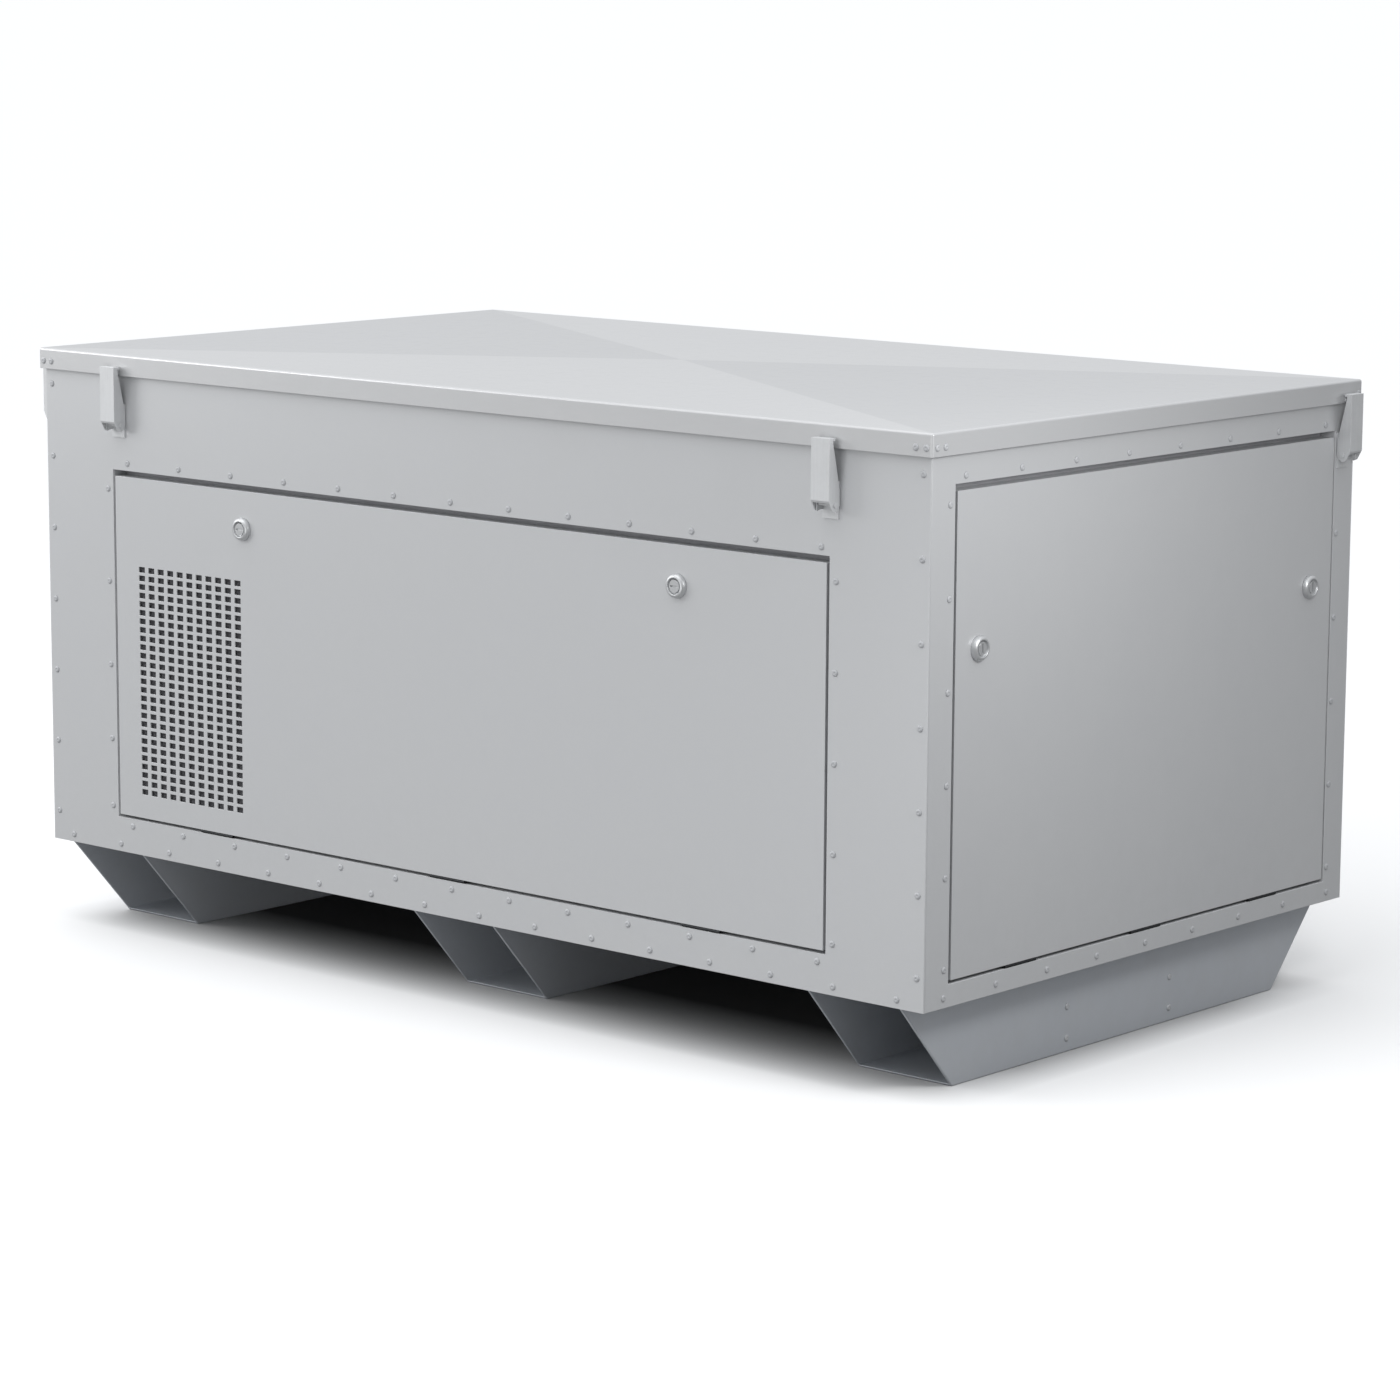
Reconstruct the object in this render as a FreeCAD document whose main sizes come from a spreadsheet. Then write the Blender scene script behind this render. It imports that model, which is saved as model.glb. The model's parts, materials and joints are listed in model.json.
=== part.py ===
import FreeCAD, Part
import Sketcher
import os

# Home standby generator: a sheet-metal enclosure on three skids, with a lift-off lid, two tilt-out
# doors and, inside, an engine, an alternator, a muffler, a battery and a control box.
# Millimetres, +Z up. X runs along the long front face, -Y is the front, +X the right end.
# The origin is on the ground, under the middle of the enclosure.

os.makedirs("parts", exist_ok=True)
doc = FreeCAD.newDocument("StandbyGenerator")
sheet = doc.addObject("Spreadsheet::Sheet", "Sizes")
Vector, Rotation, Placement = FreeCAD.Vector, FreeCAD.Rotation, FreeCAD.Placement


class Size:
    """A number and the spreadsheet expression that gives it."""

    def __init__(self, value, text):
        self.value, self.text = float(value), text

    def __add__(self, other):
        return Size(self.value + number(other), f"({self.text} + {written(other)})")

    def __radd__(self, other):
        return Size(number(other) + self.value, f"({written(other)} + {self.text})")

    def __sub__(self, other):
        return Size(self.value - number(other), f"({self.text} - {written(other)})")

    def __rsub__(self, other):
        return Size(number(other) - self.value, f"({written(other)} - {self.text})")

    def __mul__(self, other):
        return Size(self.value * number(other), f"({self.text} * {written(other)})")

    __rmul__ = __mul__

    def __truediv__(self, other):
        return Size(self.value / number(other), f"({self.text} / {written(other)})")

    def __neg__(self):
        return Size(-self.value, f"(-1 * {self.text})")


def number(amount):
    return amount.value if isinstance(amount, Size) else float(amount)


def written(amount):
    return amount.text if isinstance(amount, Size) else f"({float(amount):g})"


rowsUsed = []


def size(name, value, note=""):
    """One driving dimension: a plain number in a cell of its own, known by its alias."""
    row = len(rowsUsed) + 1
    rowsUsed.append(name)
    sheet.set(f"A{row}", name)
    sheet.set(f"B{row}", str(value))
    sheet.setAlias(f"B{row}", name)
    if note:
        sheet.set(f"C{row}", note)
    return Size(value, f"Sizes.{name}")


# ---------------------------------------------------------------- driving dimensions

bodyLength = size("bodyLength", 1500, "enclosure, outside of the end panels")
bodyDepth = size("bodyDepth", 860, "enclosure, outside of the front and back panels")
wallHeight = size("wallHeight", 657, "panels, from the bottom of the tray")
metal = size("metal", 2, "sheet thickness")
skidHeight = size("skidHeight", 110)
skidWidth = size("skidWidth", 140)
skidWall = size("skidWall", 3)
skidInset = size("skidInset", 105, "middle of an outer skid, from the end panel")
skidRake = size("skidRake", 98, "how far the sloping end runs back at the bottom")
skidEndGap = size("skidEndGap", 2, "skid top set back from the panel")
trayFlange = size("trayFlange", 25)
postLeg = size("postLeg", 30, "corner posts and top rails")
lidSkirt = size("lidSkirt", 27.5)
lidOverhang = size("lidOverhang", 6.5)
lidRise = size("lidRise", 4, "how high the cross-break stands in the middle")
lidBend = size("lidBend", 3, "outside radius of the folded edges")
sealHeight = size("sealHeight", 7, "room for the seal between the frame and the lid")
sealGap = size("sealGap", 0.3)
frontDoorLeft = bodyLength / 2 - size("frontMarginLeft", 130, "left end panel to the front opening")
frontDoorRight = bodyLength / 2 - size("frontMarginRight", 146)
frontDoorBottom = size("frontDoorBottom", 47, "opening, from the bottom of the tray")
frontDoorTop = wallHeight - size("frontMarginTop", 144, "top of the panel to the opening")
endDoorFront = bodyDepth / 2 - size("endMarginFront", 45, "front panel to the end opening")
endDoorRear = bodyDepth / 2 - size("endMarginRear", 41)
endDoorBottom = size("endDoorBottom", 27)
endDoorTop = wallHeight - size("endMarginTop", 53)
doorGap = size("doorGap", 4)
doorTopGap = size("doorTopGap", 8)
doorDepth = size("doorDepth", 20, "folded edge of the door pans")
frameDepth = size("frameDepth", 26, "door frame, front face to the back of its lip")
frameFlange = size("frameFlange", 20)
frameLip = size("frameLip", 18)
rivetRadius = size("rivetRadius", 4.4)
rivetRise = size("rivetRise", 1.7)
frontLockX = bodyLength / 2 - size("frontLockInset", 377.5, "lock, from the end panel")
frontLockZ = frontDoorTop - size("frontLockDrop", 57, "lock, below the opening")
endLockY = bodyDepth / 2 - size("endLockInset", 92)
endLockZ = endDoorTop - size("endLockDrop", 192)
lockRadius = size("lockRadius", 15, "outside of the bezel")
lockRise = size("lockRise", 7)
coreRadius = size("coreRadius", 7.75)
camLength = size("camLength", 47)
shaftPlay = size("shaftPlay", 0.05, "radial clearance of every running fit")
grilleX = frontDoorLeft - size("grilleInset", 145, "middle of the air grille, from the opening")
grilleZ = size("grilleZ", 235.5)
grilleColumns, grilleRows = 11, 27
grillePitchX = size("grillePitchX", 18.3)
grillePitchZ = size("grillePitchZ", 11.45)
grilleHoleX = size("grilleHoleX", 11.6)
grilleHoleZ = size("grilleHoleZ", 7.4)
latchX = bodyLength / 2 - size("latchInset", 144, "front and back latches, from the end panel")
latchY = bodyDepth / 2 - size("endLatchInset", 26, "end latches, from the front or back panel")
latchWidth = size("latchWidth", 27)
latchMetal = size("latchMetal", 1.5)
latchReach = size("latchReach", 21, "face of the lever, from the panel")
latchPinZ = size("latchPinZ", 92, "pivot, below the top of the lid's edge")
latchPinOut = size("latchPinOut", 9.5)
latchPinRadius = size("latchPinRadius", 2)
latchTopDrop = size("latchTopDrop", 15.5, "top of the lever, below the top of the lid's edge")
hingeRadius = size("hingeRadius", 1.7)
hingeSet = size("hingeSet", 1, "door hinge line, behind the panel's face")
crankX = size("crankX", 340, "middle of the crankcase")
crankRise = size("crankRise", 90, "crank line, above the foot of the crankcase")
crankRadius = size("crankRadius", 15)
caseLength = size("caseLength", 200)
caseWidth = size("caseWidth", 220)
caseHeight = size("caseHeight", 180)
footThick = size("footThick", 20, "engine and alternator feet")
caseWall = size("caseWall", 12)
mountHeight = size("mountHeight", 30)
mountRadius = size("mountRadius", 22)
railHeight = size("railHeight", 28)
railY = size("railY", 150)
railWidth = size("railWidth", 60)
barrelRadius = size("barrelRadius", 46)
finRadius = size("finRadius", 64)
headReach = size("headReach", 170, "crank line to the foot of the cylinder heads")
barrelFoot = size("barrelFoot", 118, "crank line to the foot of the barrels")
finPitch = size("finPitch", 7)
finThick = size("finThick", 3)
alternatorRadius = size("alternatorRadius", 125)
rotorRadius = size("rotorRadius", 80)
airGap = size("airGap", 2.5)
alternatorLength = size("alternatorLength", 310)
fanRadius = size("fanRadius", 112)
shroudRadius = size("shroudRadius", 125)
shroudLength = size("shroudLength", 75)
pipeRadius = size("pipeRadius", 19)
mufflerX = bodyLength / 2 - size("mufflerInset", 190, "middle of the muffler, from the left end panel")
mufflerRadius = size("mufflerRadius", 80)
mufflerLength = size("mufflerLength", 450)
bulkheadX = bodyLength / 2 - size("bulkheadInset", 420, "from the left end panel")
batteryLength = size("batteryLength", 190)
batteryWidth = size("batteryWidth", 150)
batteryHeight = size("batteryHeight", 180)
boxLength = size("boxLength", 300, "control box")
boxDepth = size("boxDepth", 80)
boxHeight = size("boxHeight", 170)
boxFace = size("boxFace", 55, "front of the control box, behind the front panel")
nippleRadius = size("nippleRadius", 10.65, "half-inch pipe thread")
conduitRadius = size("conduitRadius", 14, "three-quarter-inch conduit entry")
doc.recompute()

# ---------------------------------------------------------------- helpers

pieces = {}
made = [0]


def fresh(kind, hint):
    made[0] += 1
    return doc.addObject(kind, f"{hint}{made[0]}")


def bind(thing, prop, amount):
    """Sets a property through the sheet, or plainly when it is a bare number."""
    if isinstance(amount, Size):
        thing.setExpression(prop, amount.text)
    else:
        thing.setExpression(prop, f"{float(amount):g}")


def place(thing, at):
    for axis, amount in zip("xyz", at):
        bind(thing, f"Placement.Base.{axis}", amount)


def block(low, high):
    """A box between two corners."""
    solid = fresh("Part::Box", "Block")
    for prop, a, b in zip(("Length", "Width", "Height"), low, high):
        bind(solid, prop, b - a)
    place(solid, low)
    return solid


turns = {"x": Rotation(Vector(0, 1, 0), 90), "y": Rotation(Vector(1, 0, 0), -90), "z": Rotation()}


def rod(radius, length, at, axis="z"):
    """A cylinder that starts at a point and runs along +X, +Y or +Z."""
    solid = fresh("Part::Cylinder", "Rod")
    solid.Placement = Placement(Vector(), turns[axis])
    bind(solid, "Radius", radius)
    bind(solid, "Height", length)
    place(solid, at)
    return solid


def cone(radius1, radius2, length, at, turn):
    solid = fresh("Part::Cone", "Cone")
    solid.Placement = Placement(Vector(), turn)
    bind(solid, "Radius1", radius1)
    bind(solid, "Radius2", radius2)
    bind(solid, "Height", length)
    place(solid, at)
    return solid


def joined(*parts):
    whole = fresh("Part::MultiFuse", "Joined")
    whole.Shapes = list(parts)
    return whole


def without(base, *tools):
    """The base with every tool cut away."""
    tool = tools[0]
    if len(tools) > 1:
        tool = fresh("Part::Compound", "Tools")
        tool.Links = list(tools)
    result = fresh("Part::Cut", "Cut")
    result.Base, result.Tool = base, tool
    return result


def piece(name, thing):
    thing.Label = name
    pieces[name] = thing
    return thing


def gathered(name, shapes):
    """Separate solids in one node."""
    group = doc.addObject("Part::Feature", name)
    group.Shape = Part.makeCompound(shapes)
    return piece(name, group)


def plane(body, role):
    return next(item for item in body.Origin.OriginFeatures if item.Role == role)


def outline(body, role, corners):
    """A closed sketch whose every corner is held by two dimensions from the origin."""
    sketch = body.newObject("Sketcher::SketchObject", f"{body.Name}Sketch")
    sketch.AttachmentSupport = [(plane(body, role), "")]
    sketch.MapMode = "FlatFace"
    places = [Vector(number(a), number(b), 0) for a, b in corners]
    for i, start in enumerate(places):
        sketch.addGeometry(Part.LineSegment(start, places[(i + 1) % len(places)]))
    for i in range(len(corners)):
        sketch.addConstraint(Sketcher.Constraint("Coincident", i, 2, (i + 1) % len(corners), 1))
    for i, corner in enumerate(corners):
        for kind, amount in zip(("DistanceX", "DistanceY"), corner):
            at = sketch.addConstraint(Sketcher.Constraint(kind, -1, 1, i, 1, number(amount)))
            if isinstance(amount, Size):
                sketch.setExpression(f"Constraints[{at}]", amount.text)
    return sketch


def prism(name, role, corners, width):
    """A body padded to both sides of its sketch."""
    body = doc.addObject("PartDesign::Body", name)
    pad = body.newObject("PartDesign::Pad", f"{body.Name}Pad")
    pad.Profile = outline(body, role, corners)
    pad.SideType = "Symmetric"
    bind(pad, "Length", width)
    return body


def pocket(body, role, corners, width):
    """Cuts the same way, and makes sure that something was cut."""
    doc.recompute()
    before = body.Shape.Volume
    cut = body.newObject("PartDesign::Pocket", f"{body.Name}Pocket")
    cut.Profile = outline(body, role, corners)
    cut.SideType = "Symmetric"
    bind(cut, "Length", width)
    body.Tip = cut
    doc.recompute()
    if body.Shape.Volume > before - 1:
        raise RuntimeError(f"{body.Name}: the pocket cut nothing")
    return cut


def spread(start, step, count):
    return [start + step * i for i in range(count)]


# ---------------------------------------------------------------- levels and faces

through = size("through", 10, "how far a cutting tool passes each face")
halfLength, halfDepth = bodyLength / 2, bodyDepth / 2
floorZ = skidHeight
wallTop = floorZ + wallHeight
lidUnder = wallTop + sealHeight
lidTop = lidUnder + metal
innerX, innerY = halfLength - metal, halfDepth - metal

# ---------------------------------------------------------------- skids and tray


def skid(name, x):
    """An open channel: two side walls and a sole, with both ends raked back to the ground."""
    top = halfDepth - skidEndGap
    foot = top - skidRake
    body = prism(name, "YZ_Plane", [(-top, skidHeight), (-foot, 0), (foot, 0), (top, skidHeight)], skidWidth)
    pocket(body, "YZ_Plane", [(-halfDepth * 2, skidWall), (halfDepth * 2, skidWall),
                              (halfDepth * 2, skidHeight + 50), (-halfDepth * 2, skidHeight + 50)],
           skidWidth - 2 * skidWall)
    bind(body, "Placement.Base.x", x)
    return piece(name, body)


skidPitch = halfLength - skidInset
skid("skid_left", -skidPitch)
skid("skid_middle", skidPitch * 0)
skid("skid_right", skidPitch)

railLow, railHigh = -bulkheadX + 80, halfLength - 110
railTop = floorZ + metal + railHeight
caseBottom = railTop + mountHeight + footThick
caseTop = caseBottom + caseHeight
crankZ = caseBottom + crankRise


def rail(side):
    """A hat-section engine rail welded to the tray."""
    y0, y1 = side * railY - railWidth / 2, side * railY + railWidth / 2
    outer = block((railLow, y0, floorZ + metal), (railHigh, y1, railTop))
    inner = block((railLow - 5, y0 + 2 * metal, floorZ + metal),
                  (railHigh + 5, y1 - 2 * metal, railTop - 2 * metal))
    return without(outer, inner)


trayPan = without(block((-innerX, -innerY, floorZ), (innerX, innerY, floorZ + trayFlange)),
                  block((-innerX + metal, -innerY + metal, floorZ + metal),
                        (innerX - metal, innerY - metal, floorZ + trayFlange + 5)))
piece("base_tray", joined(trayPan, rail(-1), rail(1)))

# ---------------------------------------------------------------- panels

frontOpening = ((-frontDoorLeft, -halfDepth, floorZ + frontDoorBottom),
                (frontDoorRight, -halfDepth + frameDepth, floorZ + frontDoorTop))
endOpening = ((halfLength - frameDepth, -endDoorFront, floorZ + endDoorBottom),
              (halfLength, endDoorRear, floorZ + endDoorTop))


def grown(box, x, y, z):
    """The same box, larger on both sides along each axis."""
    low, high = box
    return tuple(a - g for a, g in zip(low, (x, y, z))), tuple(a + g for a, g in zip(high, (x, y, z)))


piece("front_panel", without(
    block((-halfLength, -halfDepth, floorZ), (halfLength, -halfDepth + metal, wallTop)),
    block(*grown(frontOpening, 0, 5, 0))))

ventCount = 9
ventPitch = size("ventPitch", 22)
ventSlotX = size("ventSlotX", 130)
ventSlotZ = size("ventSlotZ", 9)
ventZ = size("ventZ", 200, "lowest row of slots, from the bottom of the tray")
ventSpread = size("ventSpread", 430, "middle of the outer banks of slots")


def backSlots():
    """Three banks of cooling slots."""
    slots = []
    for bank in (-1, 0, 1):
        for i in range(ventCount):
            x, z = ventSpread * bank, floorZ + ventZ + ventPitch * i
            slots.append(block((x - ventSlotX / 2, halfDepth - metal * 2, z),
                               (x + ventSlotX / 2, halfDepth + metal, z + ventSlotZ)))
    return slots


piece("back_panel", without(
    block((-halfLength, halfDepth - metal, floorZ), (halfLength, halfDepth, wallTop)), *backSlots()))

pipeY = size("pipeY", 141, "exhaust, behind the middle")
pipeZ = crankZ + pipeY
outletRadius = size("outletRadius", 34, "exhaust opening in the left end panel")
regulatorY = size("regulatorY", 300)
regulatorZ = floorZ + size("regulatorRise", 115, "from the bottom of the tray")
nippleHole = size("nippleHole", 13)
conduitY = size("conduitY", 200)
conduitZ = size("conduitZ", 60, "from the bottom of the tray")

piece("left_end_panel", without(
    block((-halfLength, -innerY, floorZ), (-innerX, innerY, wallTop)),
    rod(outletRadius, through * 2, (-halfLength - through, 0, pipeZ), "x"),
    rod(nippleHole, through * 2, (-halfLength - through, regulatorY, regulatorZ), "x"),
    rod(conduitRadius, through * 2, (-halfLength - through, -conduitY, floorZ + conduitZ), "x")))

piece("right_end_panel", without(
    block((innerX, -innerY, floorZ), (halfLength, innerY, wallTop)),
    block(*grown(endOpening, 5, 0, 0))))

# ---------------------------------------------------------------- welded inner frame


def post(sideX, sideY):
    """A corner angle, standing on the tray inside its flange."""
    x, y = sideX * (innerX - metal), sideY * (innerY - metal)
    far = (x - sideX * postLeg, y - sideY * postLeg)
    thin = (x - sideX * metal, y - sideY * metal)

    def leg(a, b):
        low = [p if number(p) < number(q) else q for p, q in zip(a, b)]
        high = [q if number(p) < number(q) else p for p, q in zip(a, b)]
        return block((low[0], low[1], floorZ + metal), (high[0], high[1], wallTop - metal))

    return [leg((x, y), (far[0], thin[1])), leg((x, y), (thin[0], far[1]))]


ring = without(block((-innerX, -innerY, wallTop - postLeg), (innerX, innerY, wallTop)),
               block((-innerX + 2 * metal, -innerY + 2 * metal, wallTop - postLeg - 5),
                     (innerX - 2 * metal, innerY - 2 * metal, wallTop - metal)),
               block((-innerX + postLeg, -innerY + postLeg, wallTop - metal * 2),
                     (innerX - postLeg, innerY - postLeg, wallTop + 5)))
piece("inner_frame", joined(ring, *post(-1, -1), *post(1, -1), *post(-1, 1), *post(1, 1)))

# ---------------------------------------------------------------- door frames and seals

sealWidth = size("sealWidth", 10)
sealThick = frameDepth - metal - doorDepth - sealGap * 2


def doorFrame(opening, inward, bottomFlange):
    """A folded ring round an opening: flange behind the panel, web, and a lip behind the door."""
    (x0, y0, z0), (x1, y1, z1) = opening
    if inward == "y":
        panel, lip = y0 + metal, y0 + frameDepth - metal
        flange = block((x0 - frameFlange, panel, z0 - bottomFlange),
                       (x1 + frameFlange, panel + metal, z1 + frameFlange))
        web = block((x0 - metal, panel, z0 - metal), (x1 + metal, y1, z1 + metal))
        hole = block((x0, y0, z0), (x1, lip, z1))
        mouth = block((x0 + frameLip, y0, z0 + frameLip), (x1 - frameLip, y1 + 5, z1 - frameLip))
    else:
        panel, lip = x1 - metal, x1 - frameDepth + metal
        flange = block((panel - metal, y0 - frameFlange, z0 - bottomFlange),
                       (panel, y1 + frameFlange, z1 + frameFlange))
        web = block((x0, y0 - metal, z0 - metal), (panel, y1 + metal, z1 + metal))
        hole = block((lip, y0, z0), (x1, y1, z1))
        mouth = block((x0 - 5, y0 + frameLip, z0 + frameLip), (x1, y1 - frameLip, z1 - frameLip))
    return without(joined(flange, web), hole, mouth)


piece("front_door_frame", doorFrame(frontOpening, "y", frameFlange))
piece("end_door_frame", doorFrame(endOpening, "x", metal))


def doorSeal(opening, inward):
    """A rubber strip on the lip, just behind the folded edge of the door."""
    (x0, y0, z0), (x1, y1, z1) = opening
    edge = doorGap - 1
    if inward == "y":
        back = y0 + frameDepth - metal
        outer = block((x0 + edge, back - sealThick, z0 + edge), (x1 - edge, back, z1 - edge))
        inner = block((x0 + edge + sealWidth, back - sealThick - 5, z0 + edge + sealWidth),
                      (x1 - edge - sealWidth, back + 5, z1 - edge - sealWidth))
    else:
        back = x1 - frameDepth + metal
        outer = block((back, y0 + edge, z0 + edge), (back + sealThick, y1 - edge, z1 - edge))
        inner = block((back - 5, y0 + edge + sealWidth, z0 + edge + sealWidth),
                      (back + sealThick + 5, y1 - edge - sealWidth, z1 - edge - sealWidth))
    return without(outer, inner)


doc.recompute()
seals = [doorSeal(frontOpening, "y"), doorSeal(endOpening, "x")]
doorSeals = fresh("Part::Compound", "Seals")
doorSeals.Links = seals
piece("door_seals", doorSeals)

# ---------------------------------------------------------------- doors


def pan(low, high, openLow, openHigh):
    return without(block(low, high), block(openLow, openHigh))


def grilleHoles():
    """Eleven columns and twenty-seven rows of small rectangular holes, as one cutting tool."""
    holes = []
    for i in range(grilleColumns):
        for j in range(grilleRows):
            x = -grilleX.value + (i - (grilleColumns - 1) / 2) * grillePitchX.value
            z = floorZ.value + grilleZ.value + (j - (grilleRows - 1) / 2) * grillePitchZ.value
            corner = Vector(x - grilleHoleX.value / 2, -halfDepth.value - 5, z - grilleHoleZ.value / 2)
            holes.append(Part.makeBox(grilleHoleX.value, 10, grilleHoleZ.value, corner))
    tool = fresh("Part::Feature", "GrilleHoles")
    tool.Shape = Part.makeCompound(holes)
    return tool


frontLow = (-frontDoorLeft + doorGap, -halfDepth, floorZ + frontDoorBottom + doorGap)
frontHigh = (frontDoorRight - doorGap, -halfDepth + doorDepth, floorZ + frontDoorTop - doorTopGap)
lockHole = coreRadius + shaftPlay
frontLocks = [(-frontLockX, floorZ + frontLockZ), (frontLockX, floorZ + frontLockZ)]
frontPan = pan(frontLow, frontHigh, (frontLow[0] + metal, -halfDepth + metal, frontLow[2] + metal),
               (frontHigh[0] - metal, -halfDepth + doorDepth + 5, frontHigh[2] - metal))
piece("front_door", without(frontPan, grilleHoles(),
                            *[rod(lockHole, through, (x, -halfDepth - 5, z), "y") for x, z in frontLocks]))

endLow = (halfLength - doorDepth, -endDoorFront + doorGap, floorZ + endDoorBottom + doorGap)
endHigh = (halfLength, endDoorRear - doorGap, floorZ + endDoorTop - doorTopGap)
endLocks = [(-endLockY, floorZ + endLockZ), (endLockY, floorZ + endLockZ)]
endPan = pan(endLow, endHigh, (endLow[0] - 5, endLow[1] + metal, endLow[2] + metal),
             (halfLength - metal, endHigh[1] - metal, endHigh[2] - metal))
piece("end_door", without(endPan, *[rod(lockHole, through, (halfLength - 5, y, z), "x")
                                    for y, z in endLocks]))

foamThick = size("foamThick", 14)
foamInset = size("foamInset", 30)
foamClear = size("foamClear", 40, "foam stops this far below the locks and right of the grille")
grilleRight = -grilleX + grillePitchX * (grilleColumns / 2)
piece("front_door_foam", block(
    (grilleRight + foamClear, -halfDepth + metal, frontLow[2] + foamInset),
    (frontHigh[0] - foamInset, -halfDepth + metal + foamThick, floorZ + frontLockZ - foamClear)))
piece("end_door_foam", block(
    (halfLength - metal - foamThick, endLow[1] + foamInset, endLow[2] + foamInset),
    (halfLength - metal, endHigh[1] - foamInset, floorZ + endLockZ - foamClear)))

# ---------------------------------------------------------------- door hinges

hingeSpread = size("hingeSpread", 420, "outer hinges of the front door, from its middle")
endHingeSpread = size("endHingeSpread", 250)
hingeLeaf = size("hingeLeaf", 1, "leaf thickness")
leafReach = size("leafReach", 16)
knuckle = size("knuckle", 20, "length of one knuckle")
knucklePlay = size("knucklePlay", 0.4)
hingePin = size("hingePin", 0.85)
frontHingeZ = floorZ + frontDoorBottom + doorGap / 2
endHingeZ = floorZ + endDoorBottom + doorGap / 2
doc.recompute()


def hinge(centre, along, inward, drop):
    """One hinge as plain shapes: the fixed leaf with its pin, and the two moving tabs."""
    half, play = knuckle.value / 2, knucklePlay.value
    radius, pin, leaf, reach = hingeRadius.value, hingePin.value, hingeLeaf.value, leafReach.value

    def barrel(start, length, outside):
        return Part.makeCylinder(outside, length, centre + along * start, along)

    def tab(start, length, z):
        a = centre + along * start + Vector(0, 0, z)
        b = a + along * length + inward * reach + Vector(0, 0, leaf)
        low = Vector(min(a.x, b.x), min(a.y, b.y), min(a.z, b.z))
        return Part.makeBox(abs(b.x - a.x), abs(b.y - a.y), abs(b.z - a.z), low)

    fixed = barrel(-half, 2 * half, radius).fuse([tab(-half, 2 * half, -drop),
                                                   barrel(-3 * half, 6 * half, pin)])
    bore = barrel(-4 * half, 8 * half, pin + shaftPlay.value)
    moving = [barrel(start, 2 * half - play, radius).fuse(
        tab(start, 2 * half - play, drop - leaf)).cut(bore)
        for start in (-3 * half, half + play)]
    return fixed.removeSplitter(), [tabs.removeSplitter() for tabs in moving]


alongX, alongY = Vector(1, 0, 0), Vector(0, 1, 0)
hingeDrop = (doorGap / 2).value
frontMiddle = ((frontDoorRight - frontDoorLeft) / 2).value
endMiddle = ((endDoorRear - endDoorFront) / 2).value
frontHinges = [hinge(Vector(frontMiddle + offset, (-halfDepth + hingeSet).value, frontHingeZ.value),
                     alongX, alongY, hingeDrop)
               for offset in (-hingeSpread.value, 0, hingeSpread.value)]
endHinges = [hinge(Vector((halfLength - hingeSet).value, endMiddle + offset, endHingeZ.value),
                   alongY, -alongX, hingeDrop)
             for offset in (-endHingeSpread.value, 0, endHingeSpread.value)]
gathered("fixed_hinge_leaves", [fixed for fixed, tabs in frontHinges + endHinges])
gathered("front_door_hinge_tabs", [tab for fixed, tabs in frontHinges for tab in tabs])
gathered("end_door_hinge_tabs", [tab for fixed, tabs in endHinges for tab in tabs])

# ---------------------------------------------------------------- quarter-turn locks

bezelFloor = size("bezelFloor", 3, "bottom of the dished ring, from the panel")
bezelLand = size("bezelLand", 4, "how far the dome draws in")
bezelLip = size("bezelLip", 5, "outside of the bezel to its dish")
bezelBore = coreRadius + size("bezelPlay", 0.35)
coreTop = size("coreTop", 6)
camGap = size("camGap", 1.5, "cam, behind the lip of the door frame")
camWidth = size("camWidth", 14)
camThick = size("camThick", 3)
keySlot = size("keySlot", 6, "half length of the slot in the core")
keyDeep = size("keyDeep", 2)
outwards = {"y": Rotation(Vector(1, 0, 0), 90), "x": Rotation(Vector(0, 1, 0), 90)}


def bezel(at, axis):
    """A domed ring on the face of a door, dished in the middle."""
    x, y, z = at
    brim = metal
    if axis == "y":
        base = rod(lockRadius, brim, (x, y - brim, z), "y")
        dome = cone(lockRadius, lockRadius - bezelLand, lockRise - brim, (x, y - brim, z), outwards["y"])
        dish = rod(lockRadius - bezelLip, lockRise, (x, y - bezelFloor - lockRise, z), "y")
        bore = rod(bezelBore, lockRise * 2, (x, y - lockRise * 2, z), "y")
    else:
        base = rod(lockRadius, brim, (x, y, z), "x")
        dome = cone(lockRadius, lockRadius - bezelLand, lockRise - brim, (x + brim, y, z), outwards["x"])
        dish = rod(lockRadius - bezelLip, lockRise, (x + bezelFloor, y, z), "x")
        bore = rod(bezelBore, lockRise * 2, (x - 1, y, z), "x")
    return without(joined(base, dome), dish, bore)


def bezels(name, places, axis):
    pair = fresh("Part::Compound", "Bezels")
    pair.Links = [bezel(at, axis) for at in places]
    piece(name, pair)


bezels("front_lock_bezels", [(x, -halfDepth, z) for x, z in frontLocks], "y")
bezels("end_lock_bezels", [(halfLength, y, z) for y, z in endLocks], "x")

camBack = frameDepth + camGap + camThick


def frontCam(name, x, z):
    """Core and cam of a front lock. It rests unlocked, with the cam level."""
    core = rod(coreRadius, camBack + coreTop, (x, -halfDepth - coreTop, z), "y")
    y = -halfDepth + camBack
    cam = block((x - camWidth / 2, y - camThick, z - camWidth / 2), (x + camLength, y, z + camWidth / 2))
    top = -halfDepth - coreTop
    slot = block((x - keySlot, top - 1, z - 1), (x + keySlot, top + keyDeep, z + 1))
    piece(name, without(joined(core, cam), slot))


def endCam(name, y, z):
    """Core and cam of an end lock. It rests unlocked, with the cam upright."""
    core = rod(coreRadius, camBack + coreTop, (halfLength - camBack, y, z), "x")
    x = halfLength - camBack
    cam = block((x, y - camWidth / 2, z - camWidth / 2), (x + camThick, y + camWidth / 2, z + camLength))
    top = halfLength + coreTop
    slot = block((top - keyDeep, y - 1, z - keySlot), (top + 1, y + 1, z + keySlot))
    piece(name, without(joined(core, cam), slot))


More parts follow.
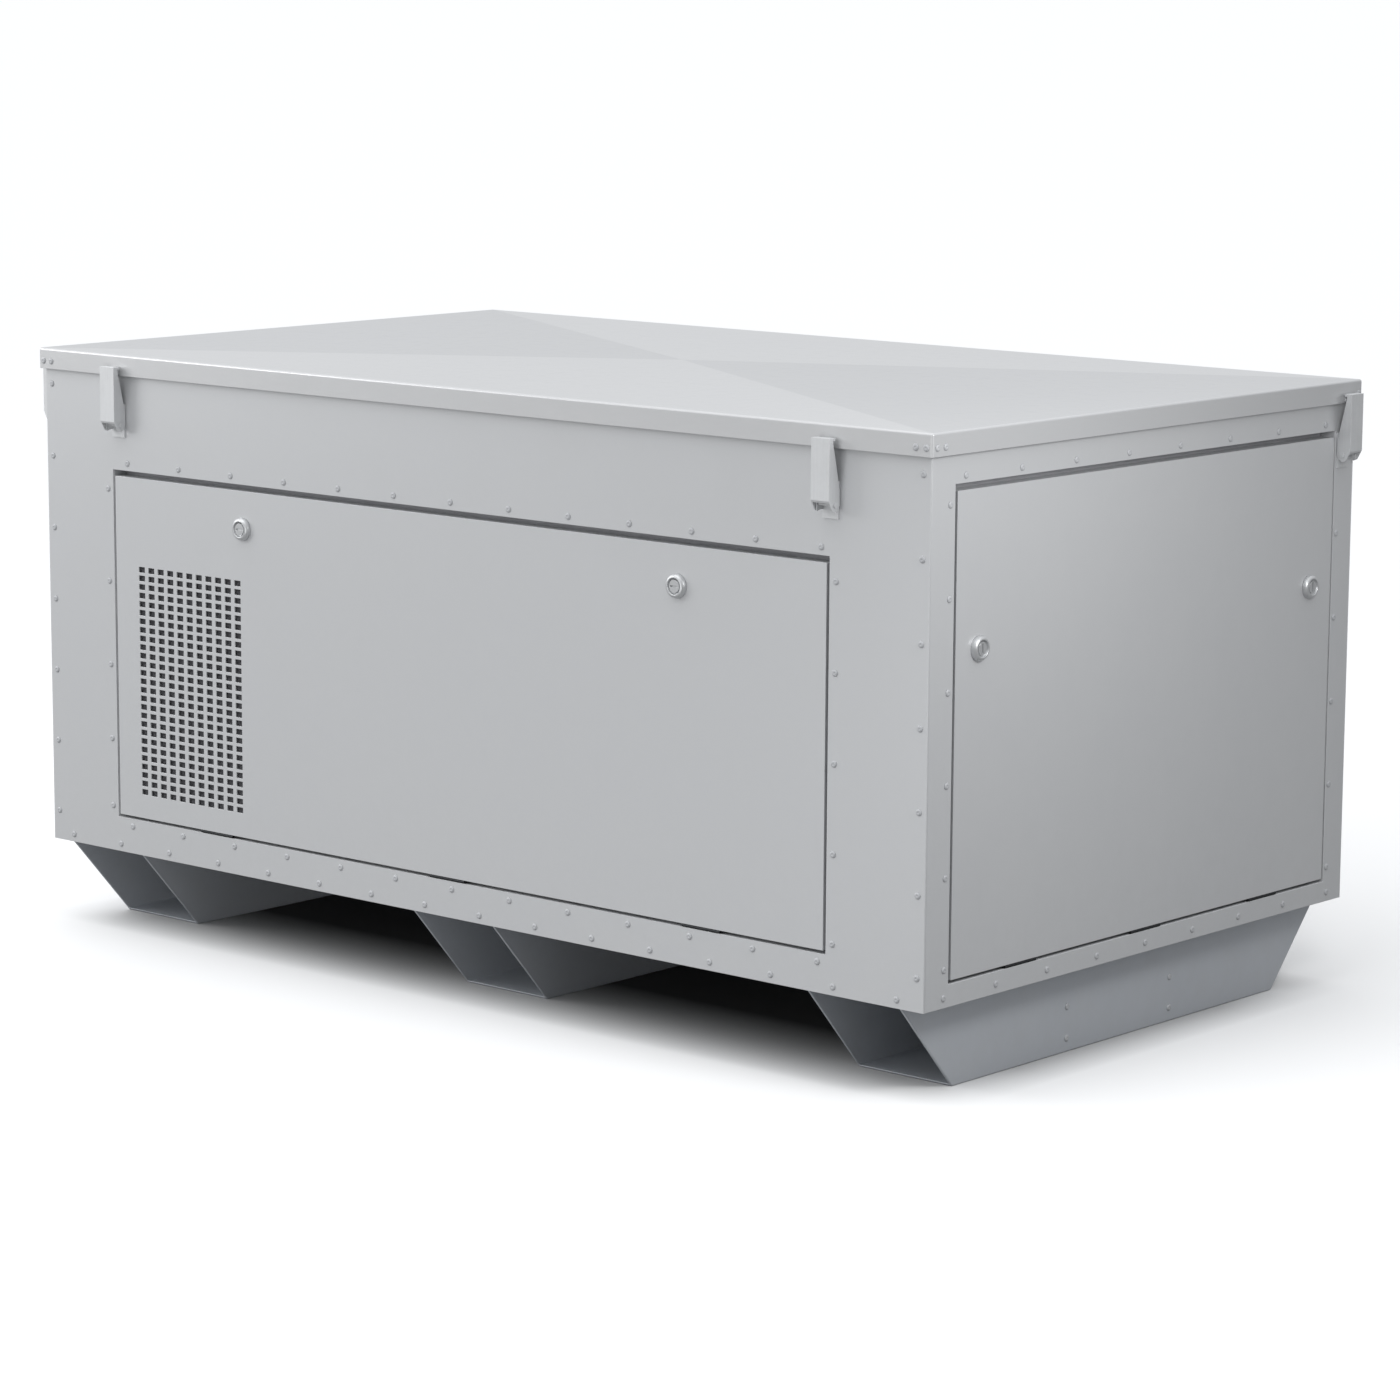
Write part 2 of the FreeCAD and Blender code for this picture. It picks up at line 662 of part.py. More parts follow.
frontCam("front_lock_left", *frontLocks[0])
frontCam("front_lock_right", *frontLocks[1])
endCam("end_lock_front", *endLocks[0])
endCam("end_lock_rear", *endLocks[1])

# ---------------------------------------------------------------- lid

skirtBottom = lidTop - lidSkirt
lidX, lidY = halfLength + lidOverhang, halfDepth + lidOverhang
ridgeFlat = size("ridgeFlat", 2, "flat at the very top of the cross-break")


def lidShell():
    """A folded pan: skirt, rounded edges, and a top broken across its diagonals to a low peak."""
    outer = block((-lidX, -lidY, skirtBottom), (lidX, lidY, lidTop))
    doc.recompute()
    low = number(skirtBottom)
    rounded = fresh("Part::Fillet", "LidBend")
    rounded.Base = outer
    rounded.Edges = [(i, lidBend.value, lidBend.value) for i, edge in enumerate(outer.Shape.Edges, 1)
                     if edge.BoundBox.ZMax > low + 1]
    peak = fresh("Part::Wedge", "LidPeak")
    for prop, amount in (("Xmin", -lidX + lidBend), ("Xmax", lidX - lidBend), ("Ymin", 0),
                         ("Ymax", lidRise), ("Zmin", -lidY + lidBend), ("Zmax", lidY - lidBend),
                         ("X2min", -ridgeFlat), ("X2max", ridgeFlat),
                         ("Z2min", -ridgeFlat), ("Z2max", ridgeFlat)):
        bind(peak, prop, amount)
    peak.Placement = Placement(Vector(), Rotation(Vector(1, 0, 0), 90))
    place(peak, (0, 0, lidTop))
    inside = block((-lidX + metal, -lidY + metal, skirtBottom - 5), (lidX - metal, lidY - metal, lidUnder))
    return without(joined(rounded, peak), inside)


piece("lid_pan", lidShell())
lidSealWidth = size("lidSealWidth", 14)
piece("lid_seal", without(
    block((-innerX, -innerY, wallTop + sealGap), (innerX, innerY, lidUnder)),
    block((-innerX + lidSealWidth, -innerY + lidSealWidth, wallTop - 5),
          (innerX - lidSealWidth, innerY - lidSealWidth, lidUnder + 5))))
lidFoamInset = size("lidFoamInset", 60)
piece("lid_foam", block((-innerX + lidFoamInset, -innerY + lidFoamInset, lidUnder - foamThick),
                        (innerX - lidFoamInset, innerY - lidFoamInset, lidUnder)))

# ---------------------------------------------------------------- latches

walls = {"front": (0, halfDepth), "right": (90, halfLength), "back": (180, halfDepth),
         "left": (270, halfLength)}
latches = {"front_left": ("front", -latchX), "front_right": ("front", latchX),
           "back_left": ("back", latchX), "back_right": ("back", -latchX),
           "right_end": ("right", latchY), "left_end": ("left", latchY)}
pinZ = lidTop - latchPinZ
leverTop = lidTop - latchTopDrop
earSide = latchWidth / 2 - latchMetal - sealGap


def seat(thing, wall, along):
    """Turns a piece made against the front face to its own wall."""
    angle, reach = walls[wall]
    thing.Placement = Placement(Vector(), Rotation(Vector(0, 0, 1), angle))
    side, out = {"front": ((1, 0), (0, -1)), "right": ((0, 1), (1, 0)),
                 "back": ((-1, 0), (0, 1)), "left": ((0, -1), (-1, 0))}[wall]
    for axis, a, b in zip("xy", side, out):
        bind(thing, f"Placement.Base.{axis}", along * a + reach * b)


def lever(name, wall, along):
    """A pressed channel on a pin near its foot. Its hooked top reaches over the lid's keeper."""
    o, z, reach, thick = latchPinOut, pinZ, latchReach, latchMetal
    side = [(-reach, leverTop), (-reach, z + 5), (-o - 5, z - 7), (-o, z - 9), (-o + 5.5, z - 6),
            (-o + 8.2, z), (-o + 8, z + 17), (-reach + 7, leverTop - 6), (-reach + 7, leverTop)]
    body = prism(name, "YZ_Plane", side, latchWidth)
    pocket(body, "YZ_Plane", [(-reach + thick, leverTop - thick), (-reach + thick, z - 12),
                              (8, z - 12), (8, leverTop - thick)], latchWidth - 2 * thick)
    hook = body.newObject("PartDesign::Pad", f"{body.Name}Hook")
    nose = lidOverhang + keeperOut + 0.5
    hook.Profile = outline(body, "YZ_Plane", [(-reach, leverTop), (-reach, leverTop - 2 * thick),
                                              (-nose, leverTop - 2 * thick), (-nose, leverTop)])
    hook.SideType = "Symmetric"
    bind(hook, "Length", latchWidth)
    body.Tip = hook
    doc.recompute()
    hole = body.newObject("PartDesign::Pocket", f"{body.Name}PinHole")
    ringSketch = body.newObject("Sketcher::SketchObject", f"{body.Name}Ring")
    ringSketch.AttachmentSupport = [(plane(body, "YZ_Plane"), "")]
    ringSketch.MapMode = "FlatFace"
    bore = latchPinRadius + shaftPlay
    circle = Part.Circle(Vector(-number(o), number(z), 0), Vector(0, 0, 1), bore.value)
    ringSketch.addGeometry(circle)
    for kind, amount in (("DistanceX", -o), ("DistanceY", z)):
        at = ringSketch.addConstraint(Sketcher.Constraint(kind, -1, 1, 0, 3, number(amount)))
        ringSketch.setExpression(f"Constraints[{at}]", amount.text)
    at = ringSketch.addConstraint(Sketcher.Constraint("Radius", 0, bore.value))
    ringSketch.setExpression(f"Constraints[{at}]", bore.text)
    hole.Profile = ringSketch
    hole.SideType = "Symmetric"
    bind(hole, "Length", latchWidth + 10)
    body.Tip = hole
    seat(body, wall, along)
    return piece(name, body)


keeperOut = size("keeperOut", 3.3, "how far the keeper stands off the lid")
keeperWidth = size("keeperWidth", 16)
for name, (wall, along) in latches.items():
    lever(f"latch_lever_{name}", wall, along)
doc.recompute()


def seated(shape, wall, along):
    """A plain shape, turned and moved to its wall as seat does."""
    angle, reach = walls[wall]
    turned = shape.copy()
    turned.Placement = Placement(Vector(), Rotation(Vector(0, 0, 1), angle)).multiply(
        Placement(Vector(number(along), -number(reach), 0), Rotation())).multiply(shape.Placement)
    return turned


def bracketShape():
    """The base plate and its two ears, bored for the pin."""
    side, thick, z, o = number(earSide), latchMetal.value, number(pinZ), latchPinOut.value
    plate = Part.makeBox(2 * side, metal.value, 44, Vector(-side, -metal.value, z - 17))
    ears = [Part.makeBox(thick, o + 4, 14, Vector(x, -o - 4, z - 7)) for x in (-side, side - thick)]
    bore = Part.makeCylinder((latchPinRadius + shaftPlay).value, 4 * side,
                             Vector(-2 * side, -o, z), Vector(1, 0, 0))
    return plate.fuse(ears).removeSplitter().cut(bore)


def pinShape():
    """A headed pin through the ears and the lever."""
    half, z, o, along = number(latchWidth) / 2, number(pinZ), latchPinOut.value, Vector(1, 0, 0)
    shaft = Part.makeCylinder(latchPinRadius.value, 2 * half + 0.6, Vector(-half - 0.3, -o, z), along)
    heads = [Part.makeCylinder(3.4, 1.2, Vector(x, -o, z), along) for x in (-half - 1.5, half + 0.3)]
    return shaft.fuse(heads).removeSplitter()


def keeperShape():
    """A folded tab on the lid's skirt, under the lever's hook."""
    half, out, reach = keeperWidth.value / 2, lidOverhang.value, keeperOut.value
    top = number(leverTop)
    pad = Part.makeBox(2 * half, reach, 10, Vector(-half, -out - reach, top - 10))
    slot = Part.makeBox(2 * half + 2, reach - 1.3, 5, Vector(-half - 1, -out - reach + 1.3, top - 5))
    return pad.cut(slot)


for name, shape in (("latch_brackets", bracketShape()), ("latch_pins", pinShape()),
                    ("lid_keepers", keeperShape())):
    gathered(name, [seated(shape, wall, along) for wall, along in latches.values()])

# ---------------------------------------------------------------- rivets


def rivetHead():
    """A pressed rivet head that stands out along -Y: a thin rim and a low cone with a flat top."""
    radius, rise, rim, top = rivetRadius.value, rivetRise.value, rivetRim.value, rivetTop.value
    rimDisc = Part.makeCylinder(radius, rim, Vector(), Vector(0, -1, 0))
    crown = Part.makeCone(radius, top, rise - rim, Vector(0, -rim, 0), Vector(0, -1, 0))
    return rimDisc.fuse(crown).removeSplitter()


rivetRim = size("rivetRim", 0.5)
rivetTop = size("rivetTop", 2.6, "radius of the flat top")
head = rivetHead()
rowPitch = size("rowPitch", 94.7, "rivets along the bottom of the front and back")
rowInset = size("rowInset", 39.75, "first rivet of that row, from the end panel")
cornerInset = size("cornerInset", 11, "rivet columns, from the end panel")
columnPitch = size("columnPitch", 96.4)
columnStart = size("columnStart", 40)
columnStop = size("columnStop", 38.6, "top rivet of a column, below the top of the panel")
bottomRow = size("bottomRow", 10.5)
doorPitch = size("doorPitch", 98.6, "rivets above and below the front door")
doorRowLeft = size("doorRowLeft", 28.4, "first rivet of those rows, inside the opening")
doorRowRight = size("doorRowRight", 12.4)
doorOffset = size("doorOffset", 10, "rivets, outside an opening")
sideStart = size("sideStart", 61, "lowest rivet beside the front door")
sidePitch = size("sidePitch", 106)
leftSteps = (0, 91, 191, 303, 426)  # beside the left of the door, closer together at the bottom
endRowPitch = size("endRowPitch", 99, "rivets below the end door")
endRowDrop = size("endRowDrop", 12)
endTopPitch = size("endTopPitch", 104.6, "rivets above the end door")
endTopInset = size("endTopInset", 19, "first rivet above the end door, inside the opening")
endTopStop = size("endTopStop", 22.8)
endOffset = size("endOffset", 9)
endRearOffset = size("endRearOffset", 7)
endColumnStart = size("endColumnStart", 45)
endColumnPitch = size("endColumnPitch", 107.3)
skidRivetFront = size("skidRivetFront", 107)
skidRivetRear = size("skidRivetRear", 105)
skidRivetDrops = (54, 93)  # below the top of the skid


def evenly(start, stop, pitch):
    """Places from start to stop, as near to the pitch as a whole number of steps allows."""
    steps = round((stop - start) / pitch)
    return spread(start, (stop - start) / steps, steps + 1)


def frontAndBackSpots():
    """Rivet centres on the front panel, and the part of them that the plain back panel has."""
    base, half, inset = floorZ.value, halfLength.value, rowInset.value
    across = halfLength.value - cornerInset.value
    heights = evenly(base + columnStart.value, wallTop.value - columnStop.value, columnPitch.value)
    plain = [(x, base + bottomRow.value) for x in evenly(-half + inset, half - inset, rowPitch.value)]
    plain += [(side * across, z) for side in (-1, 1) for z in heights]
    left, right = frontDoorLeft.value, frontDoorRight.value
    low, high = frontDoorBottom.value - doorOffset.value, frontDoorTop.value + doorOffset.value
    columns = evenly(-left + doorRowLeft.value, right - doorRowRight.value, doorPitch.value)
    aroundDoor = [(x, base + z) for x in columns for z in (low, high)]
    aroundDoor += [(-left - doorOffset.value, base + sideStart.value + step) for step in leftSteps]
    aroundDoor += [(right + doorOffset.value, base + z) for z in spread(sideStart.value, sidePitch.value, 5)]
    return plain + aroundDoor, plain


def endSpots():
    """Rivet centres round the end door. The rear column stops below the latch."""
    base, front, rear = floorZ.value, endDoorFront.value, endDoorRear.value
    low, high = -front - endOffset.value, rear + endOffset.value
    start, pitch = base + endColumnStart.value, endColumnPitch.value
    spots = [(y, base + endRowDrop.value) for y in evenly(low, high, endRowPitch.value)]
    spots += [(y, base + endDoorTop.value + endOffset.value)
              for y in evenly(-front + endTopInset.value, rear - endTopStop.value, endTopPitch.value)]
    spots += [(low, z) for z in spread(start, pitch, 6)]
    return spots + [(rear + endRearOffset.value, z) for z in spread(start, pitch, 5)]


frontSpots, backSpots = frontAndBackSpots()
wallSpots = {"front": frontSpots, "back": backSpots, "right": endSpots(), "left": endSpots()}
gathered("wall_rivets", [seated(head.translated(Vector(0, 0, z)), wall, along)
                         for wall, spots in wallSpots.items() for along, z in spots])
skidSide = (skidPitch + skidWidth / 2).value
skidSpots = [(y, skidHeight.value - drop) for y in (-skidRivetFront.value, skidRivetRear.value)
             for drop in skidRivetDrops]
gathered("skid_rivets", [head.copy().rotated(Vector(), Vector(0, 0, 1), 90 * side).translated(
    Vector(side * skidSide, y, z)) for side in (-1, 1) for y, z in skidSpots])
skirtMiddle = (lidTop - lidSkirt * 0.62).value
keeperClear = (keeperWidth / 2 + rivetRadius).value + 1


def lidSpots():
    """Two rivets beside each corner of the lid's skirt, but none under a keeper."""
    for wall, reach in (("front", lidX), ("right", lidY), ("back", lidX), ("left", lidY)):
        keepers = [number(along) for side, along in latches.values() if side == wall]
        for along in [end * (reach.value - inset) for end in (-1, 1) for inset in (9, 24)]:
            if all(abs(along - keeper) > keeperClear for keeper in keepers):
                yield wall, along


gathered("lid_rivets", [seated(head.translated(Vector(0, -lidOverhang.value, skirtMiddle)), wall, along)
                        for wall, along in lidSpots()])

# ---------------------------------------------------------------- engine

caseLow, caseHigh = crankX - caseLength / 2, crankX + caseLength / 2
crankBore = crankRadius + shaftPlay
mountInset = size("mountInset", 30, "rubber mounts, from the ends of the crankcase")
mountXs = [caseLow + mountInset, caseHigh - mountInset]
footBottom = caseBottom - footThick
feet = block((caseLow, -railY - railWidth / 2, footBottom), (caseHigh, railY + railWidth / 2, caseBottom))
case = block((caseLow, -caseWidth / 2, caseBottom - 1), (caseHigh, caseWidth / 2, caseTop))
hollow = block((caseLow + caseWall, -caseWidth / 2 + caseWall, caseBottom + caseWall),
               (caseHigh - caseWall, caseWidth / 2 - caseWall, caseTop - caseWall))
doc.recompute()


def cylinder(side):
    """A finned barrel leaning 45 degrees from upright, made upright and then tilted."""
    bore, fin, reach, start = barrelRadius.value, finRadius.value, headReach.value, barrelFoot.value
    parts = [Part.makeCylinder(bore, reach - start, Vector(0, 0, start))]
    fins = int((reach - start - 4) // finPitch.value)
    parts += [Part.makeCylinder(fin, finThick.value, Vector(0, 0, start + 4 + finPitch.value * i))
              for i in range(fins)]
    whole = parts[0].fuse(parts[1:]).removeSplitter()
    return tilted(whole, side)


def tilted(shape, side):
    moved = shape.copy()
    moved.Placement = Placement(Vector(crankX.value, 0, crankZ.value), Rotation(Vector(1, 0, 0), -45 * side))
    return moved


barrels = []
for side in (-1, 1):
    barrel = fresh("Part::Feature", "Barrel")
    barrel.Shape = cylinder(side)
    barrels.append(barrel)
tubeZ = caseBottom + 40
tubeRadius = size("tubeRadius", 7, "dipstick tube")
tubeLength = size("tubeLength", 170)
stickRadius = size("stickRadius", 3)
tubeY = caseWidth / 2 + tubeRadius + 2
dipX = caseHigh - 24
dipTube = rod(tubeRadius, tubeLength, (dipX, -tubeY, tubeZ))
dipBoss = block((dipX - 10, -tubeY - tubeRadius, tubeZ), (dipX + 10, -caseWidth / 2 + 2, tubeZ + 24))
piece("engine_block", without(joined(case, feet, dipTube, dipBoss, *barrels), hollow,
                              rod(crankBore, caseLength + 20, (caseLow - 10, 0, crankZ), "x"),
                              rod(stickRadius + shaftPlay, tubeLength + 30, (dipX, -tubeY, tubeZ + 10))))


def cylinderHead(side):
    """Head with fins, and a rocker cover on top."""
    reach = headReach.value
    parts = [Part.makeBox(108, 100, 34, Vector(-54, -50, reach))]
    parts += [Part.makeBox(124, 116, 3, Vector(-62, -58, reach + 4 + 8 * i)) for i in range(4)]
    cover = Part.makeBox(92, 76, 26, Vector(-46, -38, reach + 34))
    edges = [edge for edge in cover.Edges if edge.BoundBox.ZMax > reach + 59]
    parts.append(cover.makeFillet(7, edges))
    return tilted(parts[0].fuse(parts[1:]).removeSplitter(), side)


gathered("cylinder_heads", [cylinderHead(-1), cylinderHead(1)])
mountXs.append(caseLow - alternatorLength + 40)
gathered("engine_mounts", [Part.makeCylinder(mountRadius.value, mountHeight.value,
                                             Vector(x.value, side * railY.value, railTop.value))
                           for x in mountXs for side in (-1, 1)])

# ---------------------------------------------------------------- alternator, crank and fan

altLow = caseLow - alternatorLength
alternatorFeet = [block((altLow + 15, side * railY - 28, footBottom),
                        (altLow + 65, side * railY + 28, caseBottom)) for side in (-1, 1)]
bridge = block((altLow + 15, -railY, footBottom), (altLow + 65, railY, caseBottom - 8))
saddle = block((altLow + 15, -60, caseBottom - 10), (altLow + 65, 60, crankZ - 90))
altShell = without(rod(alternatorRadius, alternatorLength, (altLow, 0, crankZ), "x"),
                   rod(rotorRadius + airGap, alternatorLength, (altLow + caseWall, 0, crankZ), "x"),
                   rod(crankBore, alternatorLength, (altLow - 5, 0, crankZ), "x"))
outletLow = crankZ + alternatorRadius - 8
outlet = block((altLow + 90, -60, outletLow), (altLow + 210, 60, outletLow + 38))
outletTrim = without(outlet, rod(alternatorRadius - 4, alternatorLength, (altLow, 0, crankZ), "x"))
piece("alternator_housing", joined(altShell, outletTrim, bridge, saddle, *alternatorFeet))

rotorLow = altLow + 30
shaftHigh = caseHigh + shroudLength - 20
fanClear = size("fanClear", 14, "flywheel, from the crankcase")
vaneReach = size("vaneReach", 30, "disc to the tips of the vanes")
vaneCount = 12
fanHub = rod(34, 30, (caseHigh + fanClear, 0, crankZ), "x")
fanDisc = rod(fanRadius - vaneReach, 5, (caseHigh + fanClear, 0, crankZ), "x")
doc.recompute()


def fanBlades():
    """Flat vanes set round the flywheel."""
    vanes = []
    for i in range(vaneCount):
        corner = Vector((caseHigh + fanClear).value + 4, -1.5, vaneReach.value)
        vane = Part.makeBox(22, 3, (fanRadius - vaneReach).value, corner)
        vane.Placement = Placement(Vector(0, 0, crankZ.value), Rotation(Vector(1, 0, 0), 360 / vaneCount * i))
        vanes.append(vane)
    group = fresh("Part::Feature", "Vanes")
    group.Shape = vanes[0].fuse(vanes[1:])
    return group


piece("crank_rotor", joined(rod(crankRadius, shaftHigh - altLow + 8, (altLow - 8, 0, crankZ), "x"),
                            rod(rotorRadius, alternatorLength - 70, (rotorLow, 0, crankZ), "x"),
                            fanHub, fanDisc, fanBlades()))
piece("fan_shroud", without(rod(shroudRadius, shroudLength, (caseHigh, 0, crankZ), "x"),
                            rod(shroudRadius - 3, shroudLength - 3, (caseHigh, 0, crankZ), "x"),
                            rod(70, shroudLength + 5, (caseHigh, 0, crankZ), "x")))

# ---------------------------------------------------------------- air, oil and exhaust

cleanerLow = size("cleanerLow", 120, "air cleaner, above the crankcase")
cleanerHeight = size("cleanerHeight", 90)
cleanerZ = caseTop + cleanerLow
cleanerBox = block((crankX - 90, -85, cleanerZ), (crankX + 90, 85, cleanerZ + cleanerHeight))
piece("air_cleaner", joined(cleanerBox, rod(26, cleanerLow, (crankX, 0, caseTop)),
                            block((crankX - 110, -30, cleanerZ + 25), (crankX - 85, 30, cleanerZ + 65))))
piece("oil_filter", joined(rod(38, 85, (caseLow + 60, -caseWidth / 2 - 90, crankZ - 40), "y"),
                           rod(30, 5, (caseLow + 60, -caseWidth / 2 - 5, crankZ - 40), "y")))
piece("dipstick", joined(rod(stickRadius, tubeLength - 5, (dipX, -tubeY, tubeZ + 12)),
                         rod(9, 24, (dipX, -tubeY, tubeZ + tubeLength))))

headLength = size("headLength", 108, "cylinder head, along the crank")
flangeThick = size("flangeThick", 8)
finReach = size("finReach", 8, "fins, beyond the cylinder head")
mufflerWall = size("mufflerWall", 4)
pipeWall = size("pipeWall", 2)
pipeStart = crankX - headLength / 2
pipeEnd = -mufflerX + mufflerRadius - mufflerWall
piece("exhaust_pipe", without(
    joined(rod(pipeRadius, pipeStart - finReach - pipeEnd + 4, (pipeEnd - 4, pipeY, pipeZ), "x"),
           rod(pipeRadius + 14, flangeThick, (pipeStart - finReach - flangeThick, pipeY, pipeZ), "x")),
    rod(pipeRadius - pipeWall, pipeStart - pipeEnd + 40, (pipeEnd - 5, pipeY, pipeZ), "x")))
mufflerLow = pipeY - mufflerLength / 2 - 40
can = rod(mufflerRadius, mufflerLength, (-mufflerX, mufflerLow, pipeZ), "y")
bands = [rod(mufflerRadius + 3, 14, (-mufflerX, mufflerLow + at, pipeZ), "y")
         for at in (30, mufflerLength - 44)]
legs = [block((-mufflerX - 25, mufflerLow + at, floorZ + metal), (-mufflerX + 25, mufflerLow + at + 6, pipeZ))
        for at in (34, mufflerLength - 40)]
tail = rod(pipeRadius + 3, halfLength - mufflerX - 6, (-halfLength + 6, 0, pipeZ), "x")
piece("muffler", without(joined(can, tail, *bands, *legs),
                         rod(mufflerRadius - mufflerWall, mufflerLength - 2 * mufflerWall,
                             (-mufflerX, mufflerLow + mufflerWall, pipeZ), "y"),
                         rod(pipeRadius, halfLength - mufflerX, (-halfLength, 0, pipeZ), "x"),
                         rod(pipeRadius + 0.4, 60, (pipeEnd - 30, pipeY, pipeZ), "x")))
bulkSide = innerY - metal * 2 - 2
bulkFront = -halfDepth + camBack + 4.5
piece("bulkhead", without(
    block((-bulkheadX - metal, bulkFront, floorZ + metal), (-bulkheadX, bulkSide, wallTop - postLeg - 2)),
    rod(pipeRadius + 12, 40, (-bulkheadX - 20, pipeY, pipeZ), "x"),
    rod(90, 40, (-bulkheadX - 20, -pipeY, crankZ), "x")))

# ---------------------------------------------------------------- battery, controls and fuel

batteryX = -bulkheadX + 30
batteryY = -halfDepth + 45
battery = block((batteryX, batteryY, floorZ + metal),
                (batteryX + batteryLength, batteryY + batteryWidth, floorZ + metal + batteryHeight))
posts = [rod(8, 16, (batteryX + at, batteryY + 35, floorZ + metal + batteryHeight)) for at in (30, 160)]
piece("battery", joined(battery, *posts))

boxX = size("boxX", 120)
boxZ = floorZ + size("boxRise", 330, "control box, from the bottom of the tray")
faceY = -halfDepth + boxFace
boxBody = block((boxX, faceY, boxZ), (boxX + boxLength, faceY + boxDepth, boxZ + boxHeight))
frameTop = wallTop - postLeg
hanger = joined(block((boxX + 30, faceY + boxDepth - 3, boxZ + boxHeight - 20),
                      (boxX + boxLength - 30, faceY + boxDepth, frameTop)),
                block((boxX + 30, -innerY + metal * 2, frameTop - 3),
                      (boxX + boxLength - 30, faceY + boxDepth, frameTop)))
stopX, stopZ = boxX + boxLength - 45, boxZ + boxHeight - 45
screenLow, screenHigh = (boxX + 120, faceY - 1, boxZ + 95), (boxX + 210, faceY + 2, boxZ + 145)
stopRadius = size("stopRadius", 6, "stem of the stop button")
piece("control_box", without(boxBody, rod(stopRadius + shaftPlay, 30, (stopX, faceY - 1, stopZ), "y"),
                             block(screenLow, screenHigh)))
piece("control_box_hanger", without(hanger, block((boxX, faceY, boxZ - 5),
                                                  (boxX + boxLength, faceY + boxDepth, boxZ + boxHeight))))
piece("display", block(screenLow, screenHigh))
piece("stop_button", joined(rod(stopRadius, 30, (stopX, faceY - 10, stopZ), "y"),
                            cone(20, 16, 10, (stopX, faceY - 8, stopZ), outwards["y"])))
breakerX, breakerZ = boxX + 30, boxZ + 30
breakerBody = block((breakerX, faceY - 14, breakerZ), (breakerX + 60, faceY, breakerZ + 100))
toggleX, toggleZ = breakerX + 30, breakerZ + 50
piece("main_breaker", without(breakerBody, block((toggleX - 9, faceY - 15, toggleZ - 26),
                                                 (toggleX + 9, faceY - 3, toggleZ + 26))))
toggleTilt = size("toggleTilt", 20, "degrees above level at rest")
doc.recompute()


def toggleShape():
    """A barrel with a short handle, tipped up."""
    barrel = Part.makeCylinder(4, 17.4, Vector(-8.7, 0, 0), Vector(1, 0, 0))
    handle = Part.makeBox(12, 20, 6, Vector(-6, -20, -3))
    whole = barrel.fuse(handle).removeSplitter()
    whole.Placement = Placement(Vector(toggleX.value, faceY.value - 8, toggleZ.value),
                                Rotation(Vector(1, 0, 0), -toggleTilt.value))
    return whole


gathered("breaker_toggle", [toggleShape()])

regulatorX = -halfLength + 40
regBody = rod(36, 50, (regulatorX, regulatorY, regulatorZ), "x")
collar = rod(nippleRadius + 1.2, 50, (-halfLength - 2, regulatorY, regulatorZ), "x")
nipple = rod(nippleRadius, 40, (-halfLength - 18, regulatorY, regulatorZ), "x")
regStand = block((regulatorX + 10, regulatorY - 20, floorZ + metal),
                 (regulatorX + 30, regulatorY + 20, regulatorZ))
piece("fuel_regulator", without(joined(regBody, collar, nipple, regStand),
                                rod(8, 60, (-halfLength - 20, regulatorY, regulatorZ), "x")))

# ---------------------------------------------------------------- check and write

doc.recompute()
faults = [f"{thing.Label}: {thing.State}" for thing in doc.Objects
          if {"Invalid", "Error"} & set(thing.State)]
for name, thing in pieces.items():
    if thing.Label != name or thing.Shape.isNull() or not thing.Shape.isValid():
        faults.append(f"{name}: bad shape or label {thing.Label}")
if faults:
    raise RuntimeError("; ".join(faults))
for name, thing in pieces.items():
    thing.Shape.exportStep(f"parts/{name}.step")
print(len(pieces), "pieces")
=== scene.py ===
import json
import math

import bmesh
import bpy
import numpy as np
from mathutils import Matrix, Vector


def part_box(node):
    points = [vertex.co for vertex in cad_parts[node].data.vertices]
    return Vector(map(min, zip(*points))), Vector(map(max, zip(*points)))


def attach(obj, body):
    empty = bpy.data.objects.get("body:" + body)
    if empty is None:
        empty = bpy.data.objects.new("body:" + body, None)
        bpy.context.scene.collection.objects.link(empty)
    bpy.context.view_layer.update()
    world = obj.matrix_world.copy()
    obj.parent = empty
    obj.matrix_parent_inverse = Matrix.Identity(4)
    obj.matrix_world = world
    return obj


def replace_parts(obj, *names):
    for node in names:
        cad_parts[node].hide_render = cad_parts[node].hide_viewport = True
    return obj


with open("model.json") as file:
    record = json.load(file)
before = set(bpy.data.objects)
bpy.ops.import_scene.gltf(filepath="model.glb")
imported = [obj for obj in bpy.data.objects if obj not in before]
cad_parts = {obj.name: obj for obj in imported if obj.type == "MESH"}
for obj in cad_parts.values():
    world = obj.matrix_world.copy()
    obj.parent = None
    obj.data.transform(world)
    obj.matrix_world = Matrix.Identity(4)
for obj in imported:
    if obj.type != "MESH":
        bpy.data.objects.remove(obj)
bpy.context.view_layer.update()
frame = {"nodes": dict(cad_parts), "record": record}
nodes = frame["nodes"]
print("frame loaded:", len(nodes), "nodes")

# camera: a long lens at the near right corner, looking slightly down

cameraLook = {"place": (3.8318, -4.3575, 1.3192), "azimuth": 41.071, "pitch": -9.644, "roll": -0.331,
              "lens": 115.41, "sensor": 36.0}


